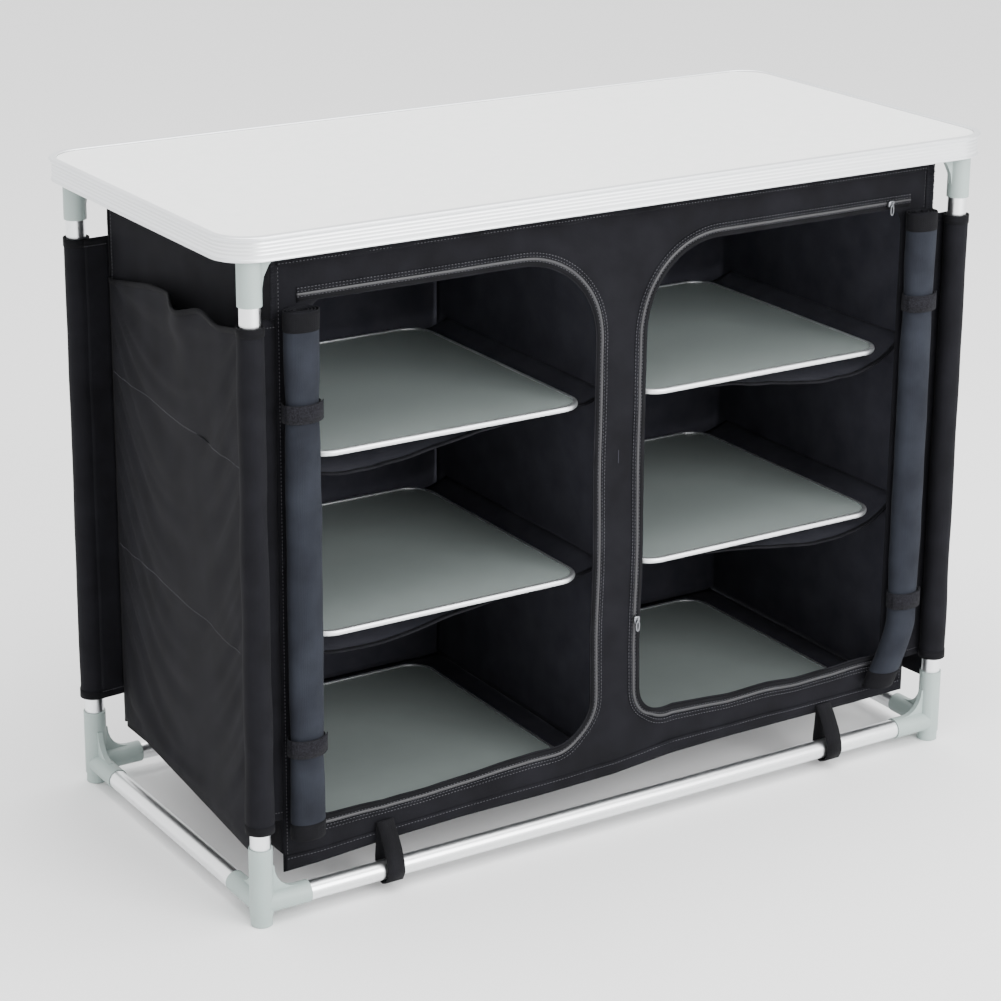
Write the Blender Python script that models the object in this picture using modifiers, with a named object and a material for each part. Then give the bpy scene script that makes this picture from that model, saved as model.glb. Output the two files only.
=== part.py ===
"""Camp kitchen table: an aluminium tube frame that plugs together, a lift-off top with aluminium
edging, and a sewn bag of two bays with three loose shelves in each bay. Metres, +Z up, front at -Y.
"""

import math

import bmesh
import bpy
from mathutils import Matrix, Vector

# Overall sizes
LENGTH = 0.98
DEPTH = 0.46
HEIGHT = 0.75

# Clearances
GAP = 0.0003  # between pieces that touch

# Tabletop
CORNER_RADIUS = 0.045
RIM_DEPTH = 0.026
RIM_WALL = 0.0014
RIM_WIDTH = 0.0078  # bright band seen from above
LIP_PROUD = 0.003
LOWER_LIP_PROUD = 0.0015
LEDGE_WIDTH = 0.0018  # inner ledge under the edge of the board
RIB_HEIGHT = 0.0004
RIB_PITCH = 0.0038
RIB_COUNT = 4
BOARD_THICKNESS = 0.008
EDGE_STEP = 0.0003  # a board's edge lies this much lower, under the lip of its rim

# Tubes and plastic fittings
TUBE_DIAMETER = 0.022
TUBE_WALL = 0.0012
FITTING_WALL = 0.0015
SOCKET_SETBACK_X = 0.0215  # outer face of a socket to the end of the table
SOCKET_SETBACK_Y = 0.010
SOCKET_SHOWN = 0.048  # length of socket below the skirt
FLANGE_THICKNESS = 0.003
FLANGE_REACH_X = 0.072  # from the post's axis towards the middle of the table
FLANGE_REACH_Y = 0.032
GUSSET_THICKNESS = 0.006
GUSSET_REACH = 0.058
GUSSET_DROP = 0.046
SCREW_X = 0.030
SCREW_Y = 0.018
SCREW_RADIUS = 0.0018
SCREW_HEAD_RADIUS = 0.0036
SCREW_HEAD_HEIGHT = 0.0022
SCREW_BITE = 0.006  # length of screw in the board

# Feet, which hold a post and two rails each
FOOT_RISE = 0.011  # height of the foot under the fitting
FOOT_INSET = 0.001
FITTING_FLOOR = 0.005  # plastic between the rails and the end of the post
POST_GRIP = 0.048  # length of post inside the fitting
ARM_INSET = 0.0005  # arms thinner than the collar
ARM_LENGTH_X = 0.055
ARM_LENGTH_Y = 0.060
RAIL_START = 0.016  # end of a rail from the post's axis
WEB_THICKNESS = 0.006
WEB_REACH = 0.040
WEB_RISE = 0.030

# Sewn bag
CLOTH = 0.0012
BAG_END_SETBACK = 0.034  # side panel to the post's axis
BAG_CLEARANCE = 0.0312  # floor of the bag above the rails
BAG_TUCK = 0.004  # top edge of the bag above the lower edge of the skirt
SLEEVE_SLACK = 0.0020
SLEEVE_CLEARANCE = 0.0194  # foot of a sleeve above the fitting
SLEEVE_DROP = 0.021  # top of a sleeve below the socket
DOOR_INNER_X = 0.033
DOOR_OUTER_SETBACK = 0.037  # from the end of the bag
DOOR_SILL = 0.044
DOOR_HEADER = 0.0595
DOOR_ARCH_RADIUS = 0.095
DOOR_FOOT_RADIUS = 0.045
DOOR_OUTER_RADIUS = 0.020
POCKET_DROP = 0.005  # mouth of a side pocket below the top of the sleeve
POCKET_DEPTH = 0.150
POCKET_RISE = 0.009  # foot of the pocket's sheet above the foot of the bag

# Shelves: each is a board in an aluminium rim
SHELF_INNER_GAP = 0.0354  # to the divider
SHELF_OUTER_GAP = 0.0425  # to the end of the bag
SHELF_FRONT_GAP = 0.0057
SHELF_BACK_GAP = 0.0217
SHELF_RADIUS = 0.032
SHELF_BOARD = 0.004
SHELF_RIM_HEIGHT = 0.0062
SHELF_RIM_WALL = 0.0012
SHELF_RIM_WIDTH = 0.0050
SHELF_SHARES = {"upper": 0.64815, "middle": 0.347}  # underside of a shelf, as a share of the bay's height
SLING_END_GAP = 0.0237
SLING_RISE = 0.012

# Rolled doors, straps, loops and zip sliders
ROLL_OFFSET = 0.017  # axis of the roll beyond the outer edge of the doorway
ROLL_HALF_WIDTH = 0.022
ROLL_HALF_DEPTH = 0.0152
ROLL_DROP = 0.0035  # top of the roll below the top of the doorway
ROLL_HANG = 0.020  # foot of the roll below the sill
STRAP_WIDTH = 0.019
STRAP_INSETS = {"upper": 0.105, "lower": 0.105}  # from the nearer end of the roll
LOOP_SETBACK = 0.122  # from the end of the bag
LOOP_WIDTH = 0.021
LOOP_LAP = 0.012  # how far the loop laps over the bag
SLIDER_HALF_WIDTH = 0.005
SLIDER_HALF_HEIGHT = 0.004
SLIDER_THICKNESS = 0.004
SLIDER_TAB = 0.016
SLIDER_TAB_THICKNESS = 0.0016
ZIP_SETBACK = 0.007  # centre of the zip from the edge of the door
TOP_SLIDER_SETBACK = 0.019  # from the outer edge of the doorway
SIDE_SLIDER_RISE = 0.130  # above the sill

ROUND_STEPS = 28
ARC_STEPS = 6

# Worked out from the sizes above
BORE_RADIUS = TUBE_DIAMETER / 2 + GAP
FITTING_RADIUS = BORE_RADIUS + FITTING_WALL
POST_X = LENGTH / 2 - SOCKET_SETBACK_X - FITTING_RADIUS
POST_Y = DEPTH / 2 - SOCKET_SETBACK_Y - FITTING_RADIUS
BOARD_TOP = HEIGHT - RIM_WALL - GAP
BOARD_BOTTOM = BOARD_TOP - BOARD_THICKNESS
SKIRT_BOTTOM = HEIGHT - RIM_DEPTH
SOCKET_BOTTOM = SKIRT_BOTTOM - SOCKET_SHOWN
FLANGE_TOP = BOARD_BOTTOM - GAP
FLANGE_BOTTOM = FLANGE_TOP - FLANGE_THICKNESS
RAIL_Z = FOOT_RISE + FITTING_RADIUS
POST_BOTTOM = RAIL_Z + BORE_RADIUS + FITTING_FLOOR + GAP
POST_TOP = FLANGE_BOTTOM - GAP
COLLAR_TOP = POST_BOTTOM + POST_GRIP
SLEEVE_LOW = COLLAR_TOP + SLEEVE_CLEARANCE
SLEEVE_HIGH = SOCKET_BOTTOM - SLEEVE_DROP
SLEEVE_INNER = TUBE_DIAMETER / 2 + SLEEVE_SLACK
SLEEVE_OUTER = SLEEVE_INNER + CLOTH
BAG_X = POST_X - BAG_END_SETBACK
BAG_Y = POST_Y - SLEEVE_OUTER + CLOTH
BAG_LOW = RAIL_Z + TUBE_DIAMETER / 2 + BAG_CLEARANCE
BAG_HIGH = SKIRT_BOTTOM + BAG_TUCK
INNER_X = BAG_X - CLOTH - GAP
INNER_Y = BAG_Y - CLOTH - GAP
FLOOR_TOP = BAG_LOW + CLOTH
BAY_HEIGHT = BAG_HIGH - FLOOR_TOP
DOOR_OUTER_X = BAG_X - DOOR_OUTER_SETBACK
DOOR_LOW = BAG_LOW + DOOR_SILL
DOOR_HIGH = BAG_HIGH - DOOR_HEADER
POCKET_HIGH = SLEEVE_HIGH - POCKET_DROP
POCKET_FLOOR = POCKET_HIGH - POCKET_DEPTH
POCKET_LOW = BAG_LOW + POCKET_RISE
SHELF_WIDTH = INNER_X - CLOTH / 2 - SHELF_INNER_GAP - SHELF_OUTER_GAP
SHELF_X = CLOTH / 2 + SHELF_INNER_GAP + SHELF_WIDTH / 2
SHELF_DEPTH = 2 * INNER_Y - SHELF_FRONT_GAP - SHELF_BACK_GAP
SHELF_Y = (SHELF_FRONT_GAP - SHELF_BACK_GAP) / 2
SHELF_LEVELS = {level: FLOOR_TOP + share * BAY_HEIGHT for level, share in SHELF_SHARES.items()}
SLING_HALF_DEPTH = INNER_Y - SLING_END_GAP
ROLL_X = DOOR_OUTER_X + ROLL_OFFSET
ROLL_Y = -(BAG_Y + GAP + CLOTH + GAP + ROLL_HALF_DEPTH)
ROLL_LOW = DOOR_LOW - ROLL_HANG
ROLL_HIGH = DOOR_HIGH - ROLL_DROP
STRAP_LEVELS = {
    "upper": ROLL_HIGH - STRAP_INSETS["upper"],
    "lower": ROLL_LOW + STRAP_INSETS["lower"],
}
LOOP_X = BAG_X - LOOP_SETBACK
TOP_SLIDER_X = DOOR_OUTER_X - TOP_SLIDER_SETBACK
SIDE_SLIDER_Z = DOOR_LOW + SIDE_SLIDER_RISE
SIDES = {"left": -1, "right": 1}
ENDS = {"front": -1, "back": 1}
CORNERS = {f"{end}_{side}": (sx, sy) for end, sy in ENDS.items() for side, sx in SIDES.items()}

COLOURS = {
    "board laminate": ((0.83, 0.85, 0.84), 0.45, 0.0),
    "brushed aluminium": ((0.80, 0.81, 0.82), 0.35, 1.0),
    "tube aluminium": ((0.78, 0.80, 0.81), 0.30, 1.0),
    "grey plastic": ((0.45, 0.52, 0.50), 0.50, 0.0),
    "screw steel": ((0.56, 0.56, 0.57), 0.35, 1.0),
    "black polyester": ((0.014, 0.014, 0.018), 0.80, 0.0),
    "slate polyester": ((0.055, 0.060, 0.078), 0.80, 0.0),
    "black webbing": ((0.012, 0.012, 0.013), 0.85, 0.0),
    "shelf laminate": ((0.22, 0.26, 0.25), 0.40, 0.0),
    "zip metal": ((0.50, 0.50, 0.50), 0.30, 1.0),
}


def clear_scene():
    for item in list(bpy.data.objects):
        bpy.data.objects.remove(item, do_unlink=True)


def new_collection(name, hidden=False):
    collection = bpy.data.collections.new(name)
    collection.hide_render = hidden
    bpy.context.scene.collection.children.link(collection)
    return collection


def new_material(name, colour, roughness, metallic):
    material = bpy.data.materials.new(name)
    material.use_nodes = True
    shader = material.node_tree.nodes["Principled BSDF"]
    shader.inputs["Base Color"].default_value = (*colour, 1.0)
    shader.inputs["Roughness"].default_value = roughness
    shader.inputs["Metallic"].default_value = metallic
    return material


clear_scene()
PARTS = new_collection("camp_kitchen_table")
HELPERS = new_collection("helpers", hidden=True)
MATERIALS = {name: new_material(name, *values) for name, values in COLOURS.items()}


def add_object(name, data, at, stuff, parent=None):
    """Links a piece of the table when it is given a material, or a hidden helper when it isn't."""
    item = bpy.data.objects.new(name, data)
    item.location = at
    if stuff is None:
        HELPERS.objects.link(item)
        item.hide_render = True
        item.display_type = "WIRE"
        return item
    PARTS.objects.link(item)
    data.materials.append(MATERIALS[stuff])
    if parent is not None:
        item.location = Vector(at) - parent.location
        item.parent = parent
    return item


def add_empty(name, at):
    empty = bpy.data.objects.new(name, None)
    empty.location = at
    PARTS.objects.link(empty)
    return empty


def mesh_from(name, build):
    """Runs build on an empty bmesh and returns the closed mesh, with its faces turned outwards."""
    shape = bmesh.new()
    build(shape)
    bmesh.ops.recalc_face_normals(shape, faces=shape.faces)
    mesh = bpy.data.meshes.new(name)
    shape.to_mesh(mesh)
    shape.free()
    return mesh


def box_mesh(name, low, high):
    low = Vector(low)
    high = Vector(high)
    place = Matrix.Translation((low + high) / 2) @ Matrix.Diagonal((*(high - low), 1))
    return mesh_from(name, lambda shape: bmesh.ops.create_cube(shape, size=1, matrix=place))


def cylinder_mesh(name, radius, start, end):
    start = Vector(start)
    axis = Vector(end) - start
    turn = axis.to_track_quat("Z", "Y").to_matrix().to_4x4()
    place = Matrix.Translation(start + axis / 2) @ turn
    return mesh_from(
        name,
        lambda shape: bmesh.ops.create_cone(
            shape,
            cap_ends=True,
            segments=ROUND_STEPS,
            radius1=radius,
            radius2=radius,
            depth=axis.length,
            matrix=place,
        ),
    )


def prism_mesh(name, outline, low, high, axis="Z"):
    """A flat outline in the plane across the axis, extruded from low to high along it."""
    order = {"X": (2, 0, 1), "Y": (0, 2, 1), "Z": (0, 1, 2)}[axis]

    def point(pair, along):
        values = (*pair, along)
        return Vector([values[i] for i in order])

    def build(shape):
        corners = [shape.verts.new(point(pair, low)) for pair in outline]
        face = shape.faces.new(corners)
        grown = bmesh.ops.extrude_face_region(shape, geom=[face])["geom"]
        moved = [item for item in grown if isinstance(item, bmesh.types.BMVert)]
        shift = point((0, 0), high - low)
        bmesh.ops.translate(shape, verts=moved, vec=shift)

    return mesh_from(name, build)


def combine(item, operation, others):
    for other in others:
        step = item.modifiers.new(f"{operation} {other.name}", "BOOLEAN")
        step.operation = operation
        step.solver = "EXACT"
        step.object = other


def helper(mesh, at):
    return add_object(f"{mesh.name}_shape", mesh, at, None)


def arc(centre, radii, start, end, steps=ARC_STEPS):
    """Points of an elliptic arc between two angles in degrees."""
    angles = [math.radians(start + (end - start) * i / steps) for i in range(steps + 1)]
    return [(centre[0] + radii[0] * math.cos(a), centre[1] + radii[1] * math.sin(a)) for a in angles]


def rounded_outline(low, high, radii):
    """A rectangle with its own radius at each corner: right top, left top, left foot, right foot."""
    places = (
        (high[0], high[1], -1, -1, 0),
        (low[0], high[1], 1, -1, 90),
        (low[0], low[1], 1, 1, 180),
        (high[0], low[1], -1, 1, 270),
    )
    points = []
    for (x, y, sx, sy, start), radius in zip(places, radii):
        centre = (x + sx * radius, y + sy * radius)
        points += arc(centre, (radius, radius), start, start + 90)
    return points


def ring_of_profile(name, half_x, half_y, radius, profile, at, stuff, parent):
    """A closed profile swept round a rounded rectangle. Its points, (outwards, up), run clockwise."""
    outline = bpy.data.curves.new(f"{name}_profile", "CURVE")
    outline.dimensions = "2D"
    section = outline.splines.new("POLY")
    section.points.add(len(profile) - 1)
    for point, (outwards, up) in zip(section.points, profile):
        point.co = (outwards, up, 0, 1)
    section.use_cyclic_u = True
    section_object = add_object(f"{name}_profile", outline, (0, 0, 0), None)

    route = bpy.data.curves.new(name, "CURVE")
    route.dimensions = "3D"
    route.twist_mode = "Z_UP"
    route.bevel_mode = "OBJECT"
    route.bevel_object = section_object
    spline = route.splines.new("POLY")
    corners = rounded_outline((-half_x, -half_y), (half_x, half_y), (radius,) * 4)
    spline.points.add(len(corners) - 1)
    for point, (x, y) in zip(spline.points, corners):
        point.co = (x, y, 0, 1)
    spline.use_cyclic_u = True
    return add_object(name, route, at, stuff, parent)


def rimmed_board(name, half_x, half_y, radius, lip, low, high, at, stuff, parent):
    """A board that fills a rim: its edge goes under the rim's lip, and its face lies inside it."""
    sheet = rounded_outline((-half_x, -half_y), (half_x, half_y), (radius,) * 4)
    board = add_object(name, prism_mesh(name, sheet, low, high - EDGE_STEP), at, stuff, parent)
    inner_x = half_x - lip
    inner_y = half_y - lip
    face = rounded_outline((-inner_x, -inner_y), (inner_x, inner_y), (radius - lip,) * 4)
    face_mesh = prism_mesh(f"{name}_face", face, (low + high) / 2, high)
    combine(board, "UNION", (helper(face_mesh, at),))


def tube(name, start, end, stuff):
    """A hollow tube: its wall's section turned about the tube's axis with a Screw modifier."""
    start = Vector(start)
    axis = Vector(end) - start
    outer = TUBE_DIAMETER / 2
    inner = outer - TUBE_WALL
    section = ((inner, 0), (inner, axis.length), (outer, axis.length), (outer, 0))
    mesh = bpy.data.meshes.new(name)
    shape = bmesh.new()
    corners = [shape.verts.new((x, 0, z)) for x, z in section]
    for i, corner in enumerate(corners):
        shape.edges.new((corner, corners[(i + 1) % len(corners)]))
    shape.to_mesh(mesh)
    shape.free()
    item = add_object(name, mesh, start, stuff)
    item.rotation_euler = axis.to_track_quat("Z", "Y").to_euler()
    turned = item.modifiers.new("turned", "SCREW")
    turned.steps = ROUND_STEPS
    turned.render_steps = ROUND_STEPS
    turned.use_merge_vertices = True
    turned.merge_threshold = 0.00001
    return item


def make_tabletop(lift):
    inset = LIP_PROUD + RIM_WALL + GAP
    rimmed_board(
        "tabletop_board",
        LENGTH / 2 - inset,
        DEPTH / 2 - inset,
        CORNER_RADIUS - inset,
        RIM_WIDTH + GAP - inset,
        -BOARD_THICKNESS,
        0,
        (0, 0, BOARD_TOP),
        "board laminate",
        lift,
    )

    face = -LIP_PROUD
    wall = face - RIM_WALL
    ledge = wall - LEDGE_WIDTH
    ledge_top = -RIM_WALL - 2 * GAP - BOARD_THICKNESS
    profile = [(-0.0010, 0), (-0.0002, -0.0008), (0, -0.0020), (-0.0004, -0.0036), (face, -0.0050)]
    first_rib = -RIM_DEPTH / 2 + RIB_PITCH * (RIB_COUNT - 1) / 2 - 0.0005
    for i in range(RIB_COUNT):
        middle = first_rib - i * RIB_PITCH
        profile += [(face, middle + 0.0007), (face + RIB_HEIGHT, middle), (face, middle - 0.0007)]
    profile += [(face, 0.0030 - RIM_DEPTH), (face + LOWER_LIP_PROUD, 0.0016 - RIM_DEPTH)]
    profile += [(face + LOWER_LIP_PROUD, -RIM_DEPTH), (wall, -RIM_DEPTH)]
    profile += [(wall, ledge_top - RIM_WALL), (ledge, ledge_top - RIM_WALL), (ledge, ledge_top)]
    profile += [(wall, ledge_top), (wall, -RIM_WALL), (-RIM_WIDTH, -RIM_WALL)]
    profile += [(-RIM_WIDTH, -0.0004), (-RIM_WIDTH + 0.0004, 0)]
    ring_of_profile(
        "tabletop_edging",
        LENGTH / 2,
        DEPTH / 2,
        CORNER_RADIUS,
        profile,
        (0, 0, HEIGHT),
        "brushed aluminium",
        lift,
    )


def gusset_outline(reach, drop, hub):
    """Concave web between a post's hub and the plate over it, from the axis outwards and upwards."""
    curve = arc((hub + reach, -drop), (reach, drop), 180, 90)
    return [(0, 0), (0, -drop)] + curve + [(hub + reach, 0)]


def screw_place(sx, sy):
    return Vector((sx * (POST_X - SCREW_X), sy * (POST_Y - SCREW_Y), 0))


def make_socket(corner, sx, sy, lift):
    name = f"socket_{corner}"
    at = (sx * POST_X, sy * POST_Y, FLANGE_BOTTOM)
    low = SOCKET_BOTTOM - FLANGE_BOTTOM
    body = add_object(
        name,
        cylinder_mesh(name, FITTING_RADIUS, (0, 0, low), (0, 0, FLANGE_THICKNESS)),
        at,
        "grey plastic",
        lift,
    )
    xs = sorted((0, -sx * FLANGE_REACH_X))
    ys = sorted((0, -sy * FLANGE_REACH_Y))
    radius = FLANGE_THICKNESS
    plate_outline = rounded_outline((xs[0], ys[0]), (xs[1], ys[1]), (radius,) * 4)
    plate = helper(prism_mesh(f"{name}_plate", plate_outline, 0, FLANGE_THICKNESS), at)
    side = gusset_outline(GUSSET_REACH, GUSSET_DROP, FITTING_RADIUS)
    rise = FLANGE_THICKNESS / 2
    half = GUSSET_THICKNESS / 2
    long_web = [(-sx * u, v + rise) for u, v in side]
    cross_web = [(-sy * u * FLANGE_REACH_Y / FLANGE_REACH_X, v + rise) for u, v in side]
    webs = (
        helper(prism_mesh(f"{name}_web_x", long_web, -half, half, "Y"), at),
        helper(prism_mesh(f"{name}_web_y", cross_web, -half, half, "X"), at),
    )
    combine(body, "UNION", (plate, *webs))
    bore = helper(cylinder_mesh(f"{name}_bore", BORE_RADIUS, (0, 0, low - 0.01), (0, 0, 0)), at)
    hole_at = screw_place(sx, sy) + Vector((0, 0, FLANGE_BOTTOM))
    hole = helper(
        cylinder_mesh(f"{name}_hole", SCREW_RADIUS + GAP, (0, 0, -0.01), (0, 0, 0.01)), hole_at
    )
    combine(body, "DIFFERENCE", (bore, hole))


def make_screw(corner, sx, sy, lift):
    name = f"socket_screw_{corner}"
    at = screw_place(sx, sy) + Vector((0, 0, FLANGE_BOTTOM - GAP))
    head_edge = SCREW_HEAD_HEIGHT * 0.6
    section = (
        (0, FLANGE_THICKNESS + SCREW_BITE + SCREW_RADIUS),
        (SCREW_RADIUS, FLANGE_THICKNESS + SCREW_BITE),
        (SCREW_RADIUS, 0),
        (SCREW_HEAD_RADIUS, 0),
        (SCREW_HEAD_RADIUS, -head_edge),
        (SCREW_HEAD_RADIUS * 0.6, -SCREW_HEAD_HEIGHT),
        (0, -SCREW_HEAD_HEIGHT),
    )
    mesh = bpy.data.meshes.new(name)
    shape = bmesh.new()
    corners = [shape.verts.new((x, 0, z)) for x, z in section]
    for start, end in zip(corners, corners[1:]):
        shape.edges.new((start, end))
    shape.to_mesh(mesh)
    shape.free()
    item = add_object(name, mesh, at, "screw steel", lift)
    turned = item.modifiers.new("turned", "SCREW")
    turned.steps = 12
    turned.render_steps = 12
    turned.use_merge_vertices = True
    turned.merge_threshold = 0.00001


def cut_screw_holes():
    """Pilot holes in the underside of the tabletop's board, one over each socket's screw."""
    board = bpy.data.objects["tabletop_board"]
    depth = SCREW_BITE + SCREW_RADIUS + 2 * GAP
    for corner, (sx, sy) in CORNERS.items():
        at = screw_place(sx, sy) + Vector((0, 0, BOARD_BOTTOM))
        mesh = cylinder_mesh(
            f"pilot_{corner}", SCREW_RADIUS + GAP, (0, 0, -0.01), (0, 0, min(depth, BOARD_THICKNESS * 0.9))
        )
        combine(board, "DIFFERENCE", (helper(mesh, at),))


def make_foot(corner, sx, sy):
    """One fitting: a collar for the post, two arms for the rails, a web over each arm and the foot."""
    name = f"foot_{corner}"
    at = (sx * POST_X, sy * POST_Y, RAIL_Z)
    body = add_object(
        name,
        cylinder_mesh(name, FITTING_RADIUS, (0, 0, -FITTING_RADIUS), (0, 0, COLLAR_TOP - RAIL_Z)),
        at,
        "grey plastic",
    )
    half = WEB_THICKNESS / 2
    web = [(0, BORE_RADIUS + GAP), (WEB_REACH, BORE_RADIUS + GAP)]
    web += arc(
        (WEB_REACH, BORE_RADIUS + WEB_RISE),
        (WEB_REACH - BORE_RADIUS - half, WEB_RISE - FITTING_WALL / 2),
        270,
        180,
    )
    web += [(0, BORE_RADIUS + WEB_RISE)]
    arm = FITTING_RADIUS - ARM_INSET
    pad = cylinder_mesh(f"{name}_pad", FITTING_RADIUS - FOOT_INSET, (0, 0, -RAIL_Z), (0, 0, 0))
    adds = [
        pad,
        cylinder_mesh(f"{name}_arm_x", arm, (0, 0, 0), (-sx * ARM_LENGTH_X, 0, 0)),
        cylinder_mesh(f"{name}_arm_y", arm - ARM_INSET, (0, 0, 0), (0, -sy * ARM_LENGTH_Y, 0)),
        prism_mesh(f"{name}_web_x", [(-sx * u, v) for u, v in web], -half, half, "Y"),
        prism_mesh(f"{name}_web_y", [(-sy * u, v) for u, v in web], -half, half, "X"),
    ]
    combine(body, "UNION", [helper(mesh, at) for mesh in adds])
    over = 0.01
    floor = POST_BOTTOM - GAP - RAIL_Z
    start = RAIL_START
    cuts = [
        cylinder_mesh(f"{name}_bore", BORE_RADIUS, (0, 0, floor), (0, 0, COLLAR_TOP - RAIL_Z + over)),
        cylinder_mesh(
            f"{name}_bore_x", BORE_RADIUS, (-sx * start, 0, 0), (-sx * (ARM_LENGTH_X + over), 0, 0)
        ),
        cylinder_mesh(
            f"{name}_bore_y", BORE_RADIUS, (0, -sy * start, 0), (0, -sy * (ARM_LENGTH_Y + over), 0)
        ),
    ]
    combine(body, "DIFFERENCE", [helper(mesh, at) for mesh in cuts])


def make_frame():
    for corner, (sx, sy) in CORNERS.items():
        make_foot(corner, sx, sy)
        foot = (sx * POST_X, sy * POST_Y, POST_BOTTOM)
        tube(f"post_{corner}", foot, (foot[0], foot[1], POST_TOP), "tube aluminium")
    end = POST_X - RAIL_START - GAP
    for name, sy in ENDS.items():
        y = sy * POST_Y
        tube(f"rail_{name}", (-end, y, RAIL_Z), (end, y, RAIL_Z), "tube aluminium")
    end = POST_Y - RAIL_START - GAP
    for name, sx in SIDES.items():
        x = sx * POST_X
        tube(f"rail_{name}", (x, -end, RAIL_Z), (x, end, RAIL_Z), "tube aluminium")


def cloth_panel(name, low, high, stuff="black polyester"):
    middle = (Vector(low) + Vector(high)) / 2
    mesh = box_mesh(name, Vector(low) - middle, Vector(high) - middle)
    return add_object(name, mesh, middle, stuff)


def make_bag():
    front = cloth_panel(
        "bag_front", (-BAG_X, -BAG_Y, BAG_LOW), (BAG_X, CLOTH - BAG_Y, BAG_HIGH)
    )
    doors = []
    for side, sx in SIDES.items():
        low = (DOOR_INNER_X, DOOR_LOW)
        high = (DOOR_OUTER_X, DOOR_HIGH)
        radii = (DOOR_OUTER_RADIUS, DOOR_ARCH_RADIUS, DOOR_FOOT_RADIUS, DOOR_OUTER_RADIUS)
        outline = [(sx * x, z) for x, z in rounded_outline(low, high, radii)]
        mesh = prism_mesh(f"doorway_{side}", outline, -0.01, 0.01, "Y")
        doors.append(helper(mesh, (0, -BAG_Y, 0)))
    combine(front, "DIFFERENCE", doors)
    cloth_panel("bag_back", (-BAG_X, BAG_Y - CLOTH, BAG_LOW), (BAG_X, BAG_Y, BAG_HIGH))
    for side, sx in SIDES.items():
        xs = sorted((sx * BAG_X, sx * (BAG_X - CLOTH)))
        cloth_panel(f"bag_side_{side}", (xs[0], -INNER_Y, BAG_LOW), (xs[1], INNER_Y, BAG_HIGH))
    cloth_panel("bag_floor", (-INNER_X, -INNER_Y, BAG_LOW), (INNER_X, INNER_Y, FLOOR_TOP))
    half = CLOTH / 2
    cloth_panel("bag_divider", (-half, -INNER_Y, FLOOR_TOP + GAP), (half, INNER_Y, BAG_HIGH))


def make_sleeve(corner, sx, sy):
    """The cloth tube round a post, with the flap that joins it to the bag's corner."""
    name = f"sleeve_{corner}"
    at = (sx * POST_X, sy * POST_Y, SLEEVE_LOW)
    tall = SLEEVE_HIGH - SLEEVE_LOW
    sleeve = add_object(
        name, cylinder_mesh(name, SLEEVE_OUTER, (0, 0, 0), (0, 0, tall)), at, "black polyester"
    )
    xs = sorted((0, -sx * (BAG_END_SETBACK - GAP)))
    ys = sorted((-sy * SLEEVE_OUTER, -sy * (SLEEVE_OUTER - CLOTH)))
    flap = box_mesh(f"{name}_flap", (xs[0], ys[0], 0), (xs[1], ys[1], tall))
    combine(sleeve, "UNION", (helper(flap, at),))
    bore = cylinder_mesh(f"{name}_bore", SLEEVE_INNER, (0, 0, -0.01), (0, 0, tall + 0.01))
    combine(sleeve, "DIFFERENCE", (helper(bore, at),))


def make_pocket(side, sx):
    """The outer sheet from the bag's back corner to the front sleeve, with the floor of its pouch."""
    name = f"pocket_{side}"
    back = Vector((BAG_X + GAP, INNER_Y))
    front = Vector((POST_X, -POST_Y + SLEEVE_OUTER + 2 * GAP))
    across = Vector((CLOTH, 0))
    wall = [back, front, front + across, back + across]
    reach = front.y + 0.0005
    floor = [back, Vector((BAG_X + GAP, reach)), Vector((POST_X + CLOTH / 2, reach)), back + across / 2]
    at = (0, 0, POCKET_LOW)
    wall_mesh = prism_mesh(name, [(sx * p.x, p.y) for p in wall], 0, POCKET_HIGH - POCKET_LOW)
    pocket = add_object(name, wall_mesh, at, "black polyester")
    level = POCKET_FLOOR - POCKET_LOW
    floor_mesh = prism_mesh(f"{name}_floor", [(sx * p.x, p.y) for p in floor], level, level + CLOTH)
    combine(pocket, "UNION", (helper(floor_mesh, at),))


def make_sling(level, side, sx, underside):
    """The cloth a shelf lies on, sewn to the divider and to the side of the bag."""
    name = f"sling_{level}_{side}"
    edges = (CLOTH / 2 + GAP, SHELF_X - SHELF_WIDTH / 2, SHELF_X + SHELF_WIDTH / 2, INNER_X)
    rises = (SLING_RISE, 0, 0, SLING_RISE)
    upper = [(sx * x, rise - GAP) for x, rise in zip(edges, rises)]
    lower = [(x, z - CLOTH) for x, z in reversed(upper)]
    mesh = prism_mesh(name, upper + lower, -SLING_HALF_DEPTH, SLING_HALF_DEPTH, "Y")
    add_object(name, mesh, (0, 0, underside), "black polyester")


def make_shelf(level, side, sx, underside):
    at = (sx * SHELF_X, SHELF_Y, underside)
    slide = add_empty(f"shelf_{level}_{side}_slide", at)
    inset = SHELF_RIM_WALL + GAP
    groove = SHELF_BOARD + 2 * GAP
    groove_low = (SHELF_RIM_HEIGHT - groove) / 2
    half_x = SHELF_WIDTH / 2
    half_y = SHELF_DEPTH / 2
    low = groove_low + GAP
    rimmed_board(
        f"shelf_board_{level}_{side}",
        half_x - inset,
        half_y - inset,
        SHELF_RADIUS - inset,
        SHELF_RIM_WIDTH + GAP - inset,
        low,
        low + SHELF_BOARD,
        at,
        "shelf laminate",
        slide,
    )
    high = SHELF_RIM_HEIGHT
    lip = -SHELF_RIM_WIDTH
    wall = -SHELF_RIM_WALL
    profile = [(-0.0012, high), (-0.0003, high - 0.0009), (0, high - 0.0022), (0, 0.0022)]
    profile += [(-0.0003, 0.0009), (-0.0012, 0), (lip, 0), (lip, groove_low), (wall, groove_low)]
    profile += [(wall, groove_low + groove), (lip, groove_low + groove), (lip, high)]
    name = f"shelf_rim_{level}_{side}"
    ring_of_profile(name, half_x, half_y, SHELF_RADIUS, profile, at, "brushed aluminium", slide)


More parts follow.
